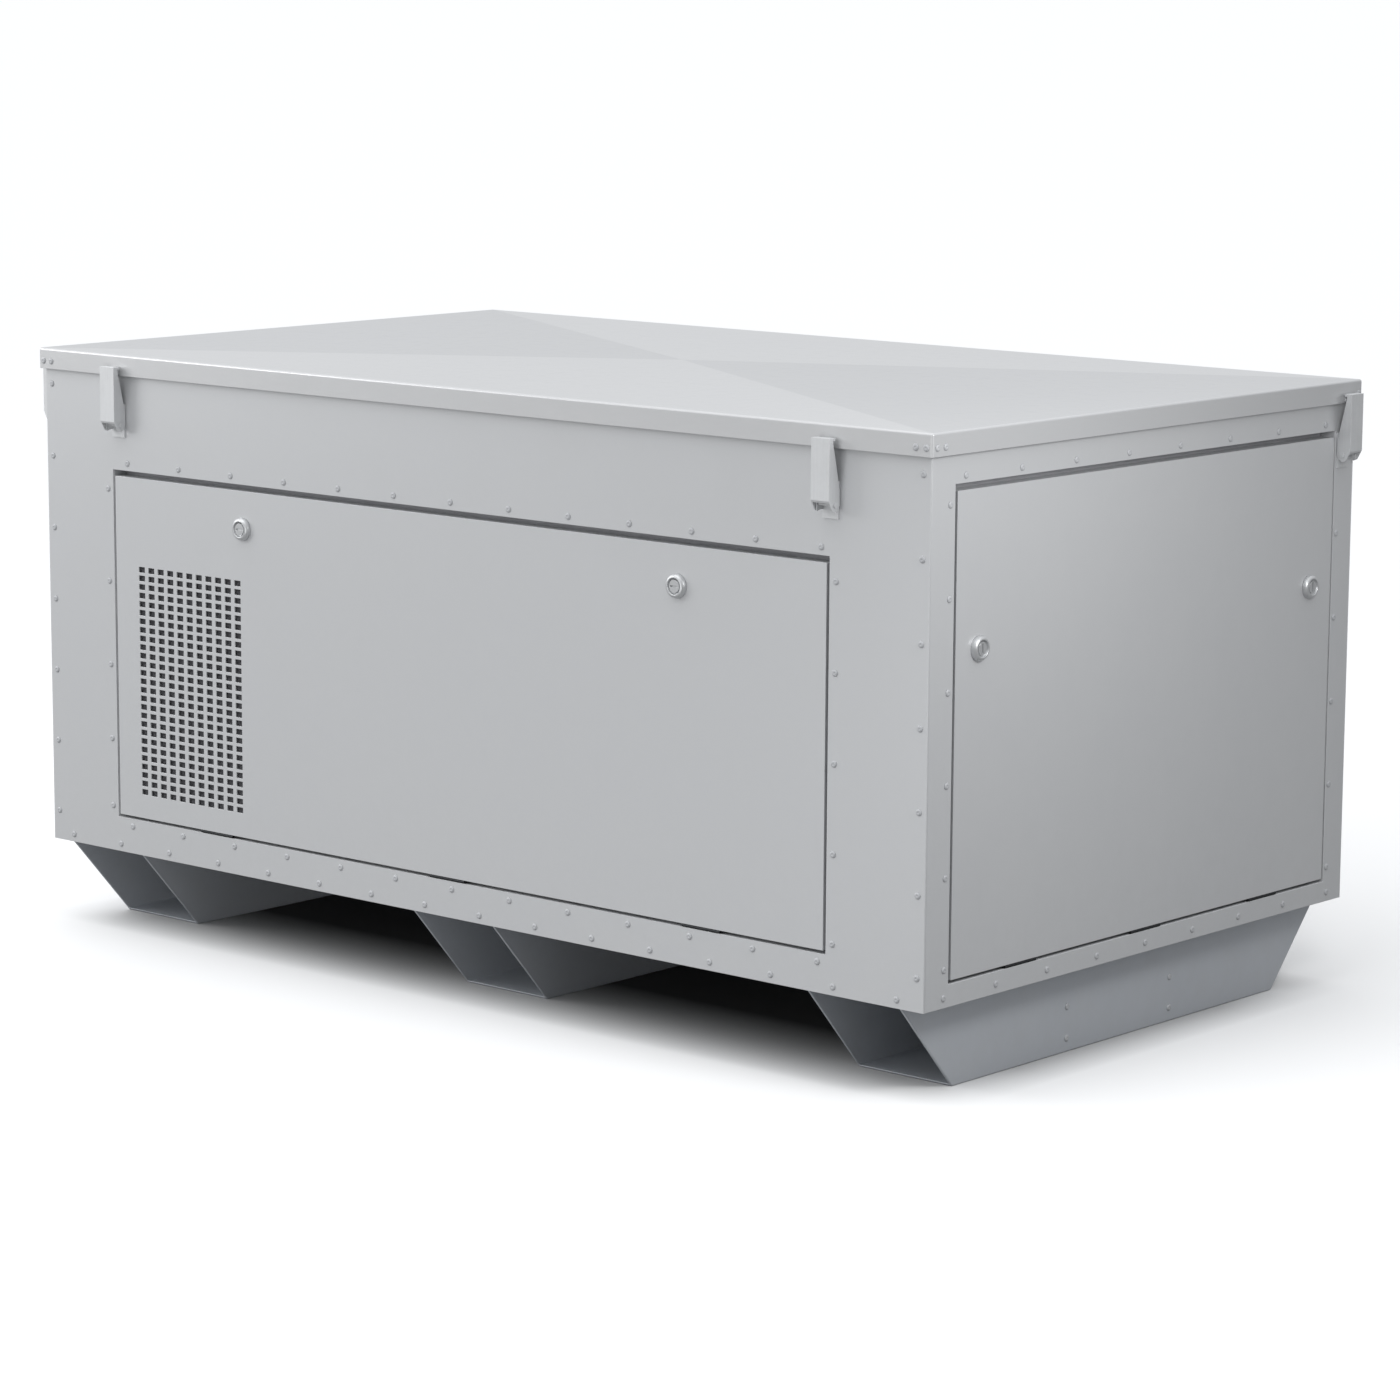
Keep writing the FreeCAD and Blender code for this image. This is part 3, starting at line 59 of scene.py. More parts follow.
def makeCamera(look):
    data = bpy.data.cameras.new("camera")
    data.lens, data.sensor_width = look["lens"], look["sensor"]
    data.clip_start, data.clip_end = 0.1, 800
    eye = bpy.data.objects.new("camera", data)
    bpy.context.collection.objects.link(eye)
    turn = Matrix.Rotation(math.radians(look["azimuth"]), 4, "Z")
    tip = Matrix.Rotation(math.radians(90 + look["pitch"]), 4, "X")
    lean = Matrix.Rotation(math.radians(-look["roll"]), 4, "Z")
    eye.matrix_world = Matrix.Translation(look["place"]) @ turn @ tip @ lean
    bpy.context.scene.camera = eye


makeCamera(cameraLook)

# shader maths: a value is a socket, and an expression on values adds its own Math nodes


class Value:
    def __init__(self, nodeSet, socket):
        self.nodeSet, self.socket = nodeSet, socket

    def maths(self, operation, *others):
        return self.nodeSet.add("ShaderNodeMath", {"operation": operation}, [self, *others])

    def __add__(self, other):
        return self.maths("ADD", other)

    def __mul__(self, other):
        return self.maths("MULTIPLY", other)

    def __sub__(self, other):
        return self.maths("SUBTRACT", other)

    def __truediv__(self, other):
        return self.maths("DIVIDE", other)

    def __rsub__(self, other):
        return self.nodeSet.add("ShaderNodeMath", {"operation": "SUBTRACT"}, [other, self])

    __radd__, __rmul__ = __add__, __mul__


class NodeSet:
    # add() makes any node of a tree from its type, its settings and its sockets
    def __init__(self, tree):
        self.tree = tree

    def add(self, kind, settings, sockets, output=0):
        node = self.tree.nodes.new(kind)
        for key, setting in settings.items():
            if key == "stops":
                self.setStops(node.color_ramp, setting)
            else:
                setattr(node, key, setting)
        pairs = sockets.items() if isinstance(sockets, dict) else enumerate(sockets)
        for key, given in pairs:
            self.feed(node.inputs[key], given)
        return Value(self, node.outputs[output])

    def setStops(self, ramp, stops):
        while len(ramp.elements) < len(stops):
            ramp.elements.new(0.5)
        for element, (place, colour) in zip(ramp.elements, stops):
            element.position, element.color = place, (*colour, 1)

    def feed(self, socket, given):
        # a value is linked; a number or a colour is set, and a colour gains its alpha
        if isinstance(given, Value):
            self.tree.links.new(given.socket, socket)
        else:
            socket.default_value = (*given, 1) if socket.type == "RGBA" else given

    def apart(self, vector):
        # the three parts of a vector
        first = self.add("ShaderNodeSeparateXYZ", {}, [vector], "X")
        outputs = first.socket.node.outputs
        return first, Value(self, outputs["Y"]), Value(self, outputs["Z"])


class Finish(NodeSet):
    # one material on the piece's own coordinates
    def __init__(self, name):
        self.material = bpy.data.materials.new(name)
        self.material.use_nodes = True
        super().__init__(self.material.node_tree)
        self.shader = self.tree.nodes["Principled BSDF"]
        self.coords = self.add("ShaderNodeTexCoord", {}, {}, "Object")

    def stretched(self, scale):
        return self.add("ShaderNodeMapping", {}, {"Vector": self.coords, "Scale": scale})

    def noise(self, scale, detail=3, rough=0.5, vector=None):
        return self.add("ShaderNodeTexNoise", {}, {"Vector": vector or self.coords, "Scale": scale,
                                                   "Detail": detail, "Roughness": rough}, "Fac")

    def cells(self, scale):
        return self.add("ShaderNodeTexVoronoi", {"feature": "F1"},
                        {"Vector": self.coords, "Scale": scale}, "Distance")

    def between(self, value, low, high):
        return self.add("ShaderNodeMapRange", {"clamp": True},
                        {"Value": value, "From Min": low, "From Max": high}, "Result")

    def patches(self, scale, low, high, detail=5, rough=0.6):
        # noise cut into patches with soft edges
        return self.between(self.noise(scale, detail, rough), low, high)

    def blend(self, amount, first, second):
        return self.add("ShaderNodeMix", {"data_type": "RGBA"}, {0: amount, 6: first, 7: second}, 2)

    def bump(self, height, strength, distance):
        return self.add("ShaderNodeBump", {}, {"Height": height, "Strength": strength,
                                               "Distance": distance}, "Normal")

    def give(self, **sockets):
        for name, given in sockets.items():
            self.feed(self.shader.inputs[name.replace("_", " ")], given)
        return self.material


# finishes: lengths are in metres, so a scale of 100 makes patches about a centimetre across
# (a patch gives its scale, the two noise levels it fades between, then its detail and roughness)

sheetLook = {"pale": (0.605, 0.612, 0.620), "deep": (0.555, 0.565, 0.580), "dust": (0.50, 0.50, 0.49),
             "rough": 0.31, "metal": 0.25, "coat": 0.12, "coatRough": 0.3,
             "cloud": 2.2, "cloudShare": 0.6, "cloudRough": 0.10,
             "patch": (14, 0.35, 0.7), "patchShare": 0.25, "patchRough": 0.05,
             "foot": (34, 0.42, 0.75, 5, 0.65), "footLow": 0.10, "footHigh": 0.32, "footShare": 0.16,
             "footRough": 0.12, "speck": 260, "speckEdge": 0.06, "speckShare": 0.05,
             "peel": 420, "peelBump": 0.16, "peelDepth": 0.0004}
# skids: the body's paint made a little darker and bluer, painted shade for the skids low under the body
shadedSkidLook = dict(sheetLook, pale=(0.56, 0.585, 0.620), deep=(0.50, 0.525, 0.560), rough=0.35)
# rivet heads: the body's paint made darker, painted shade on the heads
rivetShadedPaint = dict(sheetLook, pale=(0.50, 0.51, 0.525), deep=(0.44, 0.45, 0.465), rough=0.48, metal=0.1)
# the lid's shade colour and its share paint shade onto the two end facets; crease is the width of its soft
# edge
lidLook = dict(sheetLook, pale=(0.64, 0.645, 0.65), deep=(0.595, 0.60, 0.61), shade=(0.36, 0.37, 0.385),
               rough=0.25, coat=0.10, cloud=1.6, mottle=11, mottleShare=0.2, facetShadeShare=0.26, crease=0.006,
               film=(55, 0.5, 0.8, 6, 0.65), filmShare=0.06, filmRough=0.08)


def orangePeel(f, look):
    # fine sprayed texture over a five times coarser one
    peel = f.noise(look["peel"], 2, 0.5) * 0.7 + f.noise(look["peel"] / 5, 2, 0.5) * 0.3
    return f.bump(peel, look["peelBump"], look["peelDepth"])


def paintedSheet(name, look):
    # pale satin paint on sheet: broad clouding, orange peel, and a little dust along the foot
    f = Finish(name)
    cloud = f.noise(look["cloud"], 4, 0.55)
    patch = f.patches(*look["patch"])
    speck = 1 - f.between(f.cells(look["speck"]), 0, look["speckEdge"])
    low = 1 - f.between(f.apart(f.coords)[2], look["footLow"], look["footHigh"])
    foot = low * f.patches(*look["foot"])
    colour = f.blend(cloud * look["cloudShare"] + patch * look["patchShare"], look["pale"], look["deep"])
    colour = f.blend(foot * look["footShare"], colour, look["dust"])
    colour = f.blend(speck * look["speckShare"], colour, look["dust"])
    rough = cloud * look["cloudRough"] + patch * look["patchRough"] + foot * look["footRough"]
    return f.give(Base_Color=colour, Roughness=rough + look["rough"], Metallic=look["metal"],
                  Normal=orangePeel(f, look), Coat_Weight=look["coat"], Coat_Roughness=look["coatRough"])


def lidSheet(name, look):
    # the lid's own paint: a film of dust, and painted shade that darkens the two end facets of the
    # cross-break as light at another angle would
    f = Finish(name)
    alongX, alongY = (part.maths("ABSOLUTE") for part in f.apart(f.coords)[:2])
    halfX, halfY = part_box("lid_pan")[1][:2]
    paintedFacetShade = f.between(alongX / halfX - alongY / halfY, -look["crease"], look["crease"])
    cloud = f.noise(look["cloud"], 4, 0.55)
    mottle = f.noise(look["mottle"], 5, 0.6)
    film = f.patches(*look["film"])
    colour = f.blend(cloud * look["cloudShare"] + mottle * look["mottleShare"], look["pale"], look["deep"])
    # painted shade: the two end facets of the cross-break are blended towards a darker colour
    colour = f.blend(paintedFacetShade * look["facetShadeShare"], colour, look["shade"])
    colour = f.blend(film * look["filmShare"], colour, look["dust"])
    rough = cloud * look["cloudRough"] + film * look["filmRough"]
    return f.give(Base_Color=colour, Roughness=rough + look["rough"], Metallic=look["metal"],
                  Normal=orangePeel(f, look), Coat_Weight=look["coat"], Coat_Roughness=look["coatRough"])


steelLook = {"dull": (30, 0.4, 0.75, 4), "dark": 0.78, "lineShare": 0.5, "dullShare": 0.3,
             "lineRough": 0.12, "dullRough": 0.1, "lineBump": 0.12, "lineDepth": 0.0003}


def steel(name, tone, rough, grain, stretch=(1, 1, 1), metal=0.95, look=steelLook):
    # rolled or brushed metal: fine lines along one axis, a few duller patches
    f = Finish(name)
    lines = f.noise(grain, 3, 0.6, f.stretched(stretch))
    dull = f.patches(*look["dull"])
    darker = tuple(part * look["dark"] for part in tone)
    return f.give(Base_Color=f.blend(lines * look["lineShare"] + dull * look["dullShare"], tone, darker),
                  Metallic=metal, Roughness=lines * look["lineRough"] + dull * look["dullRough"] + rough,
                  Normal=f.bump(lines, look["lineBump"], look["lineDepth"]))


castLook = {"stain": (16, 0.48, 0.78), "dark": 0.45, "stainShare": 0.55, "stainRough": 0.15, "rough": 0.42,
            "metal": 0.75, "lumps": 80, "skinBump": 0.35, "skinDepth": 0.0012}


def castMetal(name, tone, grit, look=castLook):
    # sand-cast alloy: pebbled skin, oil-darkened low spots
    f = Finish(name)
    skin = f.cells(grit) + f.noise(look["lumps"], 4, 0.6)
    stain = f.patches(*look["stain"])
    darker = tuple(part * look["dark"] for part in tone)
    return f.give(Base_Color=f.blend(stain * look["stainShare"], tone, darker), Metallic=look["metal"],
                  Roughness=stain * look["stainRough"] + look["rough"],
                  Normal=f.bump(skin, look["skinBump"], look["skinDepth"]))


enamelLook = {"rub": (24, 0.55, 0.8, 6, 0.65), "rubShare": 0.5, "rubRough": 0.15, "fineRough": 0.1,
              "fineBump": 0.25, "fineDepth": 0.0005}


def enamel(name, tone, rough, worn, texture=600, look=enamelLook):
    # hard paint over metal or moulded plastic: fine texture, rubbed lighter in places
    f = Finish(name)
    rub = f.patches(*look["rub"])
    fine = f.noise(texture, 2, 0.6)
    return f.give(Base_Color=f.blend(rub * look["rubShare"], tone, worn),
                  Roughness=rub * look["rubRough"] + fine * look["fineRough"] + rough,
                  Normal=f.bump(fine, look["fineBump"], look["fineDepth"]))


rubberLook = {"bloom": (40, 0.45, 0.8), "bloomShare": 0.6, "bloomRough": 0.15, "rough": 0.62,
              "fine": 900, "fineBump": 0.3, "fineDepth": 0.0004}


def rubber(name, tone, chalk, look=rubberLook):
    # matt rubber with a paler bloom in patches
    f = Finish(name)
    bloom = f.patches(*look["bloom"])
    colour = f.blend(bloom * look["bloomShare"], (tone, tone, tone * 1.05), (chalk, chalk, chalk * 1.03))
    return f.give(Base_Color=colour, Roughness=bloom * look["bloomRough"] + look["rough"],
                  Normal=f.bump(f.noise(look["fine"], 2, 0.6), look["fineBump"], look["fineDepth"]))


foamCells = {"pores": 620, "poreShare": 0.5, "shade": 26, "shadeShare": 0.4,
             "hollow": (0.028, 0.028, 0.031), "crest": (0.10, 0.10, 0.108), "rough": 0.95,
             "poreBump": 0.7, "poreDepth": 0.0012}


def foam(name, look):
    # open-cell acoustic foam: pores with painted shade in their hollows and lighter rims, over a broad
    # random tone
    f = Finish(name)
    pores = f.between(f.cells(look["pores"]), 0.1, 0.6)
    shade = f.noise(look["shade"], 4, 0.6)
    # painted shade: pore hollows darker than their rims; the broad noise is a random tone
    amount = pores * look["poreShare"] + shade * look["shadeShare"]
    return f.give(Base_Color=f.blend(amount, look["hollow"], look["crest"]), Roughness=look["rough"],
                  Normal=f.bump(pores, look["poreBump"], look["poreDepth"]))


exhaustLook = {"temper": 7, "stops": [(0.3, (0.42, 0.40, 0.38)), (0.48, (0.40, 0.30, 0.19)),
                                      (0.6, (0.26, 0.20, 0.24)), (0.75, (0.22, 0.25, 0.32))],
               "rust": (60, 0.56, 0.74, 6, 0.7), "rustTone": (0.19, 0.085, 0.04), "rustShare": 0.7,
               "metal": 0.85, "rustMetal": 0.6, "rough": 0.38, "rustRough": 0.4, "scale": 300,
               "scaleShare": 0.4, "scaleBump": 0.3, "scaleDepth": 0.0008}


def heatStained(name, look):
    # exhaust steel: straw to blue temper colours, and a dusting of rust
    f = Finish(name)
    heat = f.noise(look["temper"], 4, 0.6)
    temper = f.add("ShaderNodeValToRGB", {"stops": look["stops"]}, [heat], "Color")
    rust = f.patches(*look["rust"])
    flakes = rust + f.noise(look["scale"], 3, 0.6) * look["scaleShare"]
    return f.give(Base_Color=f.blend(rust * look["rustShare"], temper, look["rustTone"]),
                  Metallic=look["metal"] - rust * look["rustMetal"],
                  Roughness=rust * look["rustRough"] + look["rough"],
                  Normal=f.bump(flakes, look["scaleBump"], look["scaleDepth"]))


displayLook = {"dots": 700, "dotShare": 0.5, "dark": (0.012, 0.018, 0.016), "lit": (0.05, 0.09, 0.07),
               "rough": 0.08, "coat": 0.6}


def screenGlass(name, look):
    # a dark display: faint grid of dots behind a gloss front
    f = Finish(name)
    dots = 1 - f.between(f.cells(look["dots"]), 0.25, 0.5)
    return f.give(Base_Color=f.blend(dots * look["dotShare"], look["dark"], look["lit"]),
                  Roughness=look["rough"], Coat_Weight=look["coat"])


finishes = {
    "enclosure_sheet": paintedSheet("paleSheet", sheetLook),
    "skid_paint": paintedSheet("shadedSkidSheet", shadedSkidLook),
    "rivet_aluminium": paintedSheet("rivetShadedPaint", rivetShadedPaint),
    "frame_steel": steel("zincSteel", tone=(0.60, 0.61, 0.62), rough=0.34, grain=120),
    "latch_steel": steel("latchSteel", tone=(0.69, 0.70, 0.71), rough=0.42, grain=500,
                         stretch=(1, 1, 0.04), metal=0.4),
    "lock_chrome": steel("lockZinc", tone=(0.68, 0.69, 0.70), rough=0.30, grain=700, metal=0.8),
    "machined_steel": steel("machinedSteel", tone=(0.52, 0.52, 0.53), rough=0.25, grain=500,
                            stretch=(0.05, 1, 1)),
    "rubber_black": rubber("blackRubber", tone=0.018, chalk=0.06),
    "foam_grey": foam("acousticFoam", foamCells),
    "engine_aluminium": castMetal("castAlloy", tone=(0.50, 0.51, 0.52), grit=260),
    "regulator_casting": castMetal("dieCastZinc", tone=(0.46, 0.46, 0.44), grit=420),
    "alternator_paint": enamel("blackEnamel", tone=(0.030, 0.031, 0.034), rough=0.36,
                               worn=(0.10, 0.10, 0.11)),
    "black_plastic": enamel("blackPlastic", tone=(0.022, 0.022, 0.024), rough=0.48,
                            worn=(0.05, 0.05, 0.053)),
    "filter_paint": enamel("creamEnamel", tone=(0.70, 0.66, 0.56), rough=0.28, worn=(0.55, 0.50, 0.41)),
    "control_paint": enamel("controlGrey", tone=(0.13, 0.14, 0.15), rough=0.46, worn=(0.2, 0.21, 0.22),
                            texture=350),
    "stop_red": enamel("stopRed", tone=(0.52, 0.014, 0.010), rough=0.26, worn=(0.60, 0.06, 0.05)),
    "exhaust_steel": heatStained("exhaustSteel", exhaustLook),
    "display_glass": screenGlass("displayGlass", displayLook)}
slotOf = {part["node"]: part["material_slot"] for part in frame["record"]["subparts"]}
finishOf = {node: finishes[slot] for node, slot in slotOf.items()}
# the hinges are near-black: painted shade, so they read as the shade in the door gaps
hingeShadeSteel = steel("hingeShadeSteel", tone=(0.05, 0.052, 0.055), rough=0.5, grain=300)
for node in ("fixed_hinge_leaves", "front_door_hinge_tabs", "end_door_hinge_tabs"):
    finishOf[node] = hingeShadeSteel  # blackened, so it is lost in the gap
for node in ("front_door_frame", "end_door_frame"):
    finishOf[node] = finishes["enclosure_sheet"]  # painted with the panel it is welded to
# the door seals are pale grey: painted light that lifts the shade in the gaps round the doors
finishOf["door_seals"] = rubber("doorRubberPaintedLight", tone=0.42, chalk=0.50)
finishOf["lid_pan"] = lidSheet("lidSheet", lidLook)
for nodeName, nodeObject in nodes.items():
    nodeObject.data.materials.clear()
    nodeObject.data.materials.append(finishOf[nodeName])
print("finishes made:", len(finishes))

bodyOf = {node: body for body, members in frame["record"]["behaviour"]["bodies"].items()
          for node in members}


def newPiece(name, mesh, node):
    # a finished piece that stands for a CAD node, with that node's body and finish
    thing = bpy.data.objects.new(name, mesh)
    bpy.context.collection.objects.link(thing)
    if not mesh.materials:
        mesh.materials.append(finishOf[node])
    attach(thing, bodyOf[node])
    return thing


# folded sheet: each CAD node's own shape, with its sharp edges rounded over
# (bevel widths in millimetres)

edgeLook = {"front_panel": 0.6, "back_panel": 0.6, "left_end_panel": 0.6, "right_end_panel": 0.6,
            "front_door": 0.7, "end_door": 1.0, "lid_pan": 0.6, "skid_left": 1.2, "skid_middle": 1.2,
            "skid_right": 1.2, "base_tray": 0.7, "latch_brackets": 0.5, "lid_keepers": 0.7,
            "control_box": 2.5, "battery": 3.0, "air_cleaner": 6.0, "main_breaker": 1.2,
            "alternator_housing": 1.5, "fan_shroud": 1.0, "muffler": 2.0, "oil_filter": 3.0,
            "inner_frame": 0.6, "front_door_frame": 0.6, "end_door_frame": 0.6, "bulkhead": 0.6,
            "control_box_hanger": 0.6, "engine_mounts": 2.0, "fuel_regulator": 1.5, "breaker_toggle": 1.0,
            "engine_block": 1.0, "exhaust_pipe": 1.0, "lid_seal": 1.2, "door_seals": 1.0}
bendLook = {"melt": 0.05, "smoothTo": 28, "bevelFrom": 32, "broadArea": 0.01, "flatTo": 0.1, "segments": 2}
for latch in ("front_left", "front_right", "back_left", "back_right", "right_end", "left_end"):
    edgeLook[f"latch_lever_{latch}"] = 1.3
for lock in ("front_lock_left", "front_lock_right", "end_lock_front", "end_lock_rear"):
    edgeLook[lock] = 0.5


def softened(node, width, look):
    # merge a copy of the node, melt its flat faces together, then bevel what is still sharp
    shape = bmesh.new()
    shape.from_mesh(nodes[node].data)
    bmesh.ops.remove_doubles(shape, verts=shape.verts, dist=1e-6)
    bmesh.ops.dissolve_limit(shape, angle_limit=math.radians(look["melt"]), verts=shape.verts,
                             edges=shape.edges)
    for face in shape.faces:
        face.smooth = True
    for edge in shape.edges:
        if len(edge.link_faces) == 2:
            broad = min(face.calc_area() for face in edge.link_faces) > look["broadArea"]
            bend = math.degrees(edge.calc_face_angle(0))
            edge.smooth = bend < look["smoothTo"] and not (broad and bend > look["flatTo"])
    mesh = bpy.data.meshes.new(f"{node}_shape")
    shape.to_mesh(mesh)
    shape.free()
    thing = newPiece(f"{node}_finished", mesh, node)
    bevel = thing.modifiers.new("edge", "BEVEL")
    bevel.width, bevel.segments, bevel.limit_method = width / 1000, look["segments"], "ANGLE"
    bevel.angle_limit = math.radians(look["bevelFrom"])
    flat = thing.modifiers.new("flat", "WEIGHTED_NORMAL")  # broad faces stay flat beside their bends
    flat.keep_sharp, flat.weight = True, 100
    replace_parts(thing, node)


for node, width in edgeLook.items():
    softened(node, width, bendLook)
print("sheet pieces finished:", len(edgeLook))

# surfaces worked out as grids of points


def shapeMesh(name, points, *faceSets):
    mesh = bpy.data.meshes.new(name)
    mesh.from_pydata(points.tolist(), [], [face for faces in faceSets for face in faces.tolist()])
    mesh.polygons.foreach_set("use_smooth", np.ones(len(mesh.polygons), bool))
    mesh.validate()
    return mesh


def facedOut(mesh):
    shape = bmesh.new()
    shape.from_mesh(mesh)
    bmesh.ops.recalc_face_normals(shape, faces=shape.faces)
    shape.to_mesh(mesh)
    shape.free()


def gridQuads(index):
    # each point number with its neighbours along both ways of the grid
    return np.stack([index[:-1, :-1], index[1:, :-1], index[1:, 1:], index[:-1, 1:]], -1).reshape(-1, 4)


def slabMesh(name, face, back):
    # two grids of one shape and size, closed by a wall of quads that runs once round the border
    rows, columns = face.shape[:2]
    index = np.arange(rows * columns).reshape(rows, columns)
    rim = np.concatenate([index[0], index[1:, -1], index[-1, -2::-1], index[-2:0:-1, 0]])
    quads = gridQuads(index)
    walls = np.stack([rim, np.roll(rim, -1), np.roll(rim, -1) + index.size, rim + index.size], -1)
    mesh = shapeMesh(name, np.concatenate([face.reshape(-1, 3), back.reshape(-1, 3)]), quads,
                     quads[:, ::-1] + index.size, walls)
    facedOut(mesh)
    return mesh


def ringQuads(rings, sides, closed):
    # quads between rings that follow one another; closed joins the last ring to the first
    index = np.arange(rings * sides).reshape(rings, sides)
    index = np.concatenate([index, index[:, :1]], 1)  # once round, back to the first side
    return gridQuads(np.concatenate([index, index[:1]]) if closed else index)


def islands(node):
    # low and high corners of each separate solid in a node: points that coincide are made one,
    # then every point takes the lowest label among its neighbours until nothing changes
    mesh = nodes[node].data
    points = np.empty(len(mesh.vertices) * 3)
    mesh.vertices.foreach_get("co", points)
    points = points.reshape(-1, 3)
    same = np.unique(np.round(points * 1e6), axis=0, return_inverse=True)[1].reshape(-1)
    edges = np.empty(len(mesh.edges) * 2, int)
    mesh.edges.foreach_get("vertices", edges)
    a, b = same[edges].reshape(-1, 2).T
    label = np.arange(same.max() + 1)
    while (label[a] != label[b]).any():
        least = np.minimum(label[a], label[b])
        np.minimum.at(label, a, least)
        np.minimum.at(label, b, least)
        label = label[label]
    order = np.argsort(label[same], kind="stable")
    starts = np.unique(label[same][order], return_index=True)[1]
    return np.minimum.reduceat(points[order], starts), np.maximum.reduceat(points[order], starts)


def turnedSet(node, suffix, look):
    # one closed shape per solid of the node, turned about that solid's own axis:
    # point = foot + radius * out * (cos(t) * side + sin(t) * across) + rise * tall * axis
    low, high = islands(node)
    size, middle = high - low, (low + high) / 2
    flat = size.argmin(1)
    sign = np.sign(np.take_along_axis(middle, flat[:, None], 1))
    axis, side = np.eye(3)[flat] * sign, np.eye(3)[(flat + 1) % 3]
    across = np.cross(axis, side)
    radius, rise = size.max(1)[:, None] / 2, size.min(1)[:, None]
    profile = np.array(look["profile"])
    rings, sides = len(profile), look["sides"]
    turn = np.linspace(0, 2 * math.pi, sides, endpoint=False)[:, None]
    spoke = np.cos(turn) * side[:, None] + np.sin(turn) * across[:, None]
    foot, axis = (middle - axis * rise / 2)[:, None, None], axis[:, None, None]
    out, tall = (radius * profile[:, 0])[..., None, None], (rise * profile[:, 1])[..., None, None]
    points = foot + tall * axis + out * spoke[:, None]
    step = (np.arange(len(low)) * rings * sides)[:, None, None]
    quads = (ringQuads(rings, sides, look["hollow"]) + step).reshape(-1, 4)
    ends = np.stack([np.arange(sides), np.arange(sides) + (rings - 1) * sides])
    caps = [] if look["hollow"] else [(ends + step).reshape(-1, sides)]
    mesh = shapeMesh(f"{node}_{suffix}", points.reshape(-1, 3), quads, *caps)
    facedOut(mesh)
    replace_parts(newPiece(f"{node}_{suffix}", mesh, node), node)


# (out, tall) pairs from the foot to the hollow left by the stem
rivetLook = {"sides": 10, "hollow": False,
             "profile": [(1.0, 0.0), (0.93, 0.42), (0.64, 0.86), (0.38, 1.0), (0.24, 0.72)]}
for node in ("wall_rivets", "skid_rivets", "lid_rivets"):
    turnedSet(node, "heads", rivetLook)
print("rivet heads set")

# egg-crate pads: the axis across each pad, and the side that is glued down (1 is its high side)
foamLook = {"pitch": 0.045, "steps": 6, "depth": 0.45, "border": 0.012, "borderShare": 0.25,
            "lid_foam": (2, 1), "front_door_foam": (1, 0), "end_door_foam": (0, 1)}


def foamPad(node, look):
    # thickness less a product of cosines, thinning towards the border
    corners = np.array(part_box(node))
    normal, glued = look[node]
    across = [k for k in range(3) if k != normal]
    low, spans = corners[0], corners[1] - corners[0]
    counts = [max(8, int(spans[k] / look["pitch"] * look["steps"])) for k in across]
    a, b = np.meshgrid(np.linspace(0, 1, counts[0]), np.linspace(0, 1, counts[1]), indexing="ij")
    waves = [np.cos(2 * math.pi * way * round(spans[k] / look["pitch"])) for way, k in zip((a, b), across)]
    edge = np.minimum(np.minimum(a, 1 - a) * spans[across[0]], np.minimum(b, 1 - b) * spans[across[1]])
    fall = np.clip(edge / look["border"], 0, 1) ** 0.5
    level = spans[normal] * (1 - look["depth"] * (0.5 - 0.5 * waves[0] * waves[1])) * (
        look["borderShare"] + (1 - look["borderShare"]) * fall)
    back = np.zeros((*a.shape, 3))
    back[..., across] = low[across] + np.stack([a, b], -1) * spans[across]
    back[..., normal] = corners[glued][normal]
    face = back.copy()
    face[..., normal] += -level if glued else level
    pad = newPiece(f"{node}_crate", slabMesh(f"{node}_crate", face, back), node)
    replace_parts(pad, node)


for node in ("lid_foam", "front_door_foam", "end_door_foam"):
    foamPad(node, foamLook)
print("foam pads made")

# lock bezels: foot, round shoulder, crown, lip, dish floor and bore
curve = np.linspace(0, math.pi / 2, 9)
bezelLook = {"sides": 40, "hollow": True,
             "profile": [(1.0, 0.0), *zip(0.70 + 0.30 * np.cos(curve), 0.18 + 0.82 * np.sin(curve)),
                         (0.675, 0.985), (0.66, 0.93), (0.64, 0.43), (0.565, 0.43), (0.545, 0.40),
                         (0.545, 0.0)]}
for node in ("front_lock_bezels", "end_lock_bezels"):
    turnedSet(node, "rings", bezelLook)

# dust pad behind the air grille: open-cell foam held to the back of the door

padLook = {"thick": 0.006, "margin": 0.012, "gap": 0.0004, "plate": 0.002, "rim": 0.003, "draw": 0.4,
           "pitch": 0.0045, "steps": 3, "dimple": 0.0009}
grilleLook = {"x": -0.475, "z": 0.3455, "wide": 0.1946, "high": 0.3051}


def dustPad(look, grille):
    # a thin slab whose two faces are dimpled by a product of sines and draw together at the border
    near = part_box("front_door")[0][1] + look["plate"] + look["gap"] + look["dimple"]
    wide, high = grille["wide"] / 2 + look["margin"], grille["high"] / 2 + look["margin"]
    columns, rows = (int(2 * half / look["pitch"] * look["steps"]) for half in (wide, high))
    u, v = np.meshgrid(np.linspace(-wide, wide, columns), np.linspace(-high, high, rows), indexing="ij")
    edge = np.minimum(wide - abs(u), high - abs(v))
    fall = np.clip(edge / look["rim"], 0, 1) ** 0.5
    turn = math.pi / look["pitch"]
    dimple = look["dimple"] * fall * np.sin(u * turn) * np.sin(v * turn)
    draw = (1 - fall) * look["thick"] * look["draw"]
    front = np.stack([grille["x"] + u, near + draw + dimple, grille["z"] + v], -1)
    back = np.stack([grille["x"] + u, near + look["thick"] - draw - dimple, grille["z"] + v], -1)
    mesh = slabMesh("intake_dust_pad", front, back)
    mesh.materials.append(finishes["foam_grey"])
    pad = bpy.data.objects.new("intake_dust_pad", mesh)
    bpy.context.collection.objects.link(pad)
    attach(pad, "front_door")


dustPad(padLook, grilleLook)
print("bezels and dust pad made")
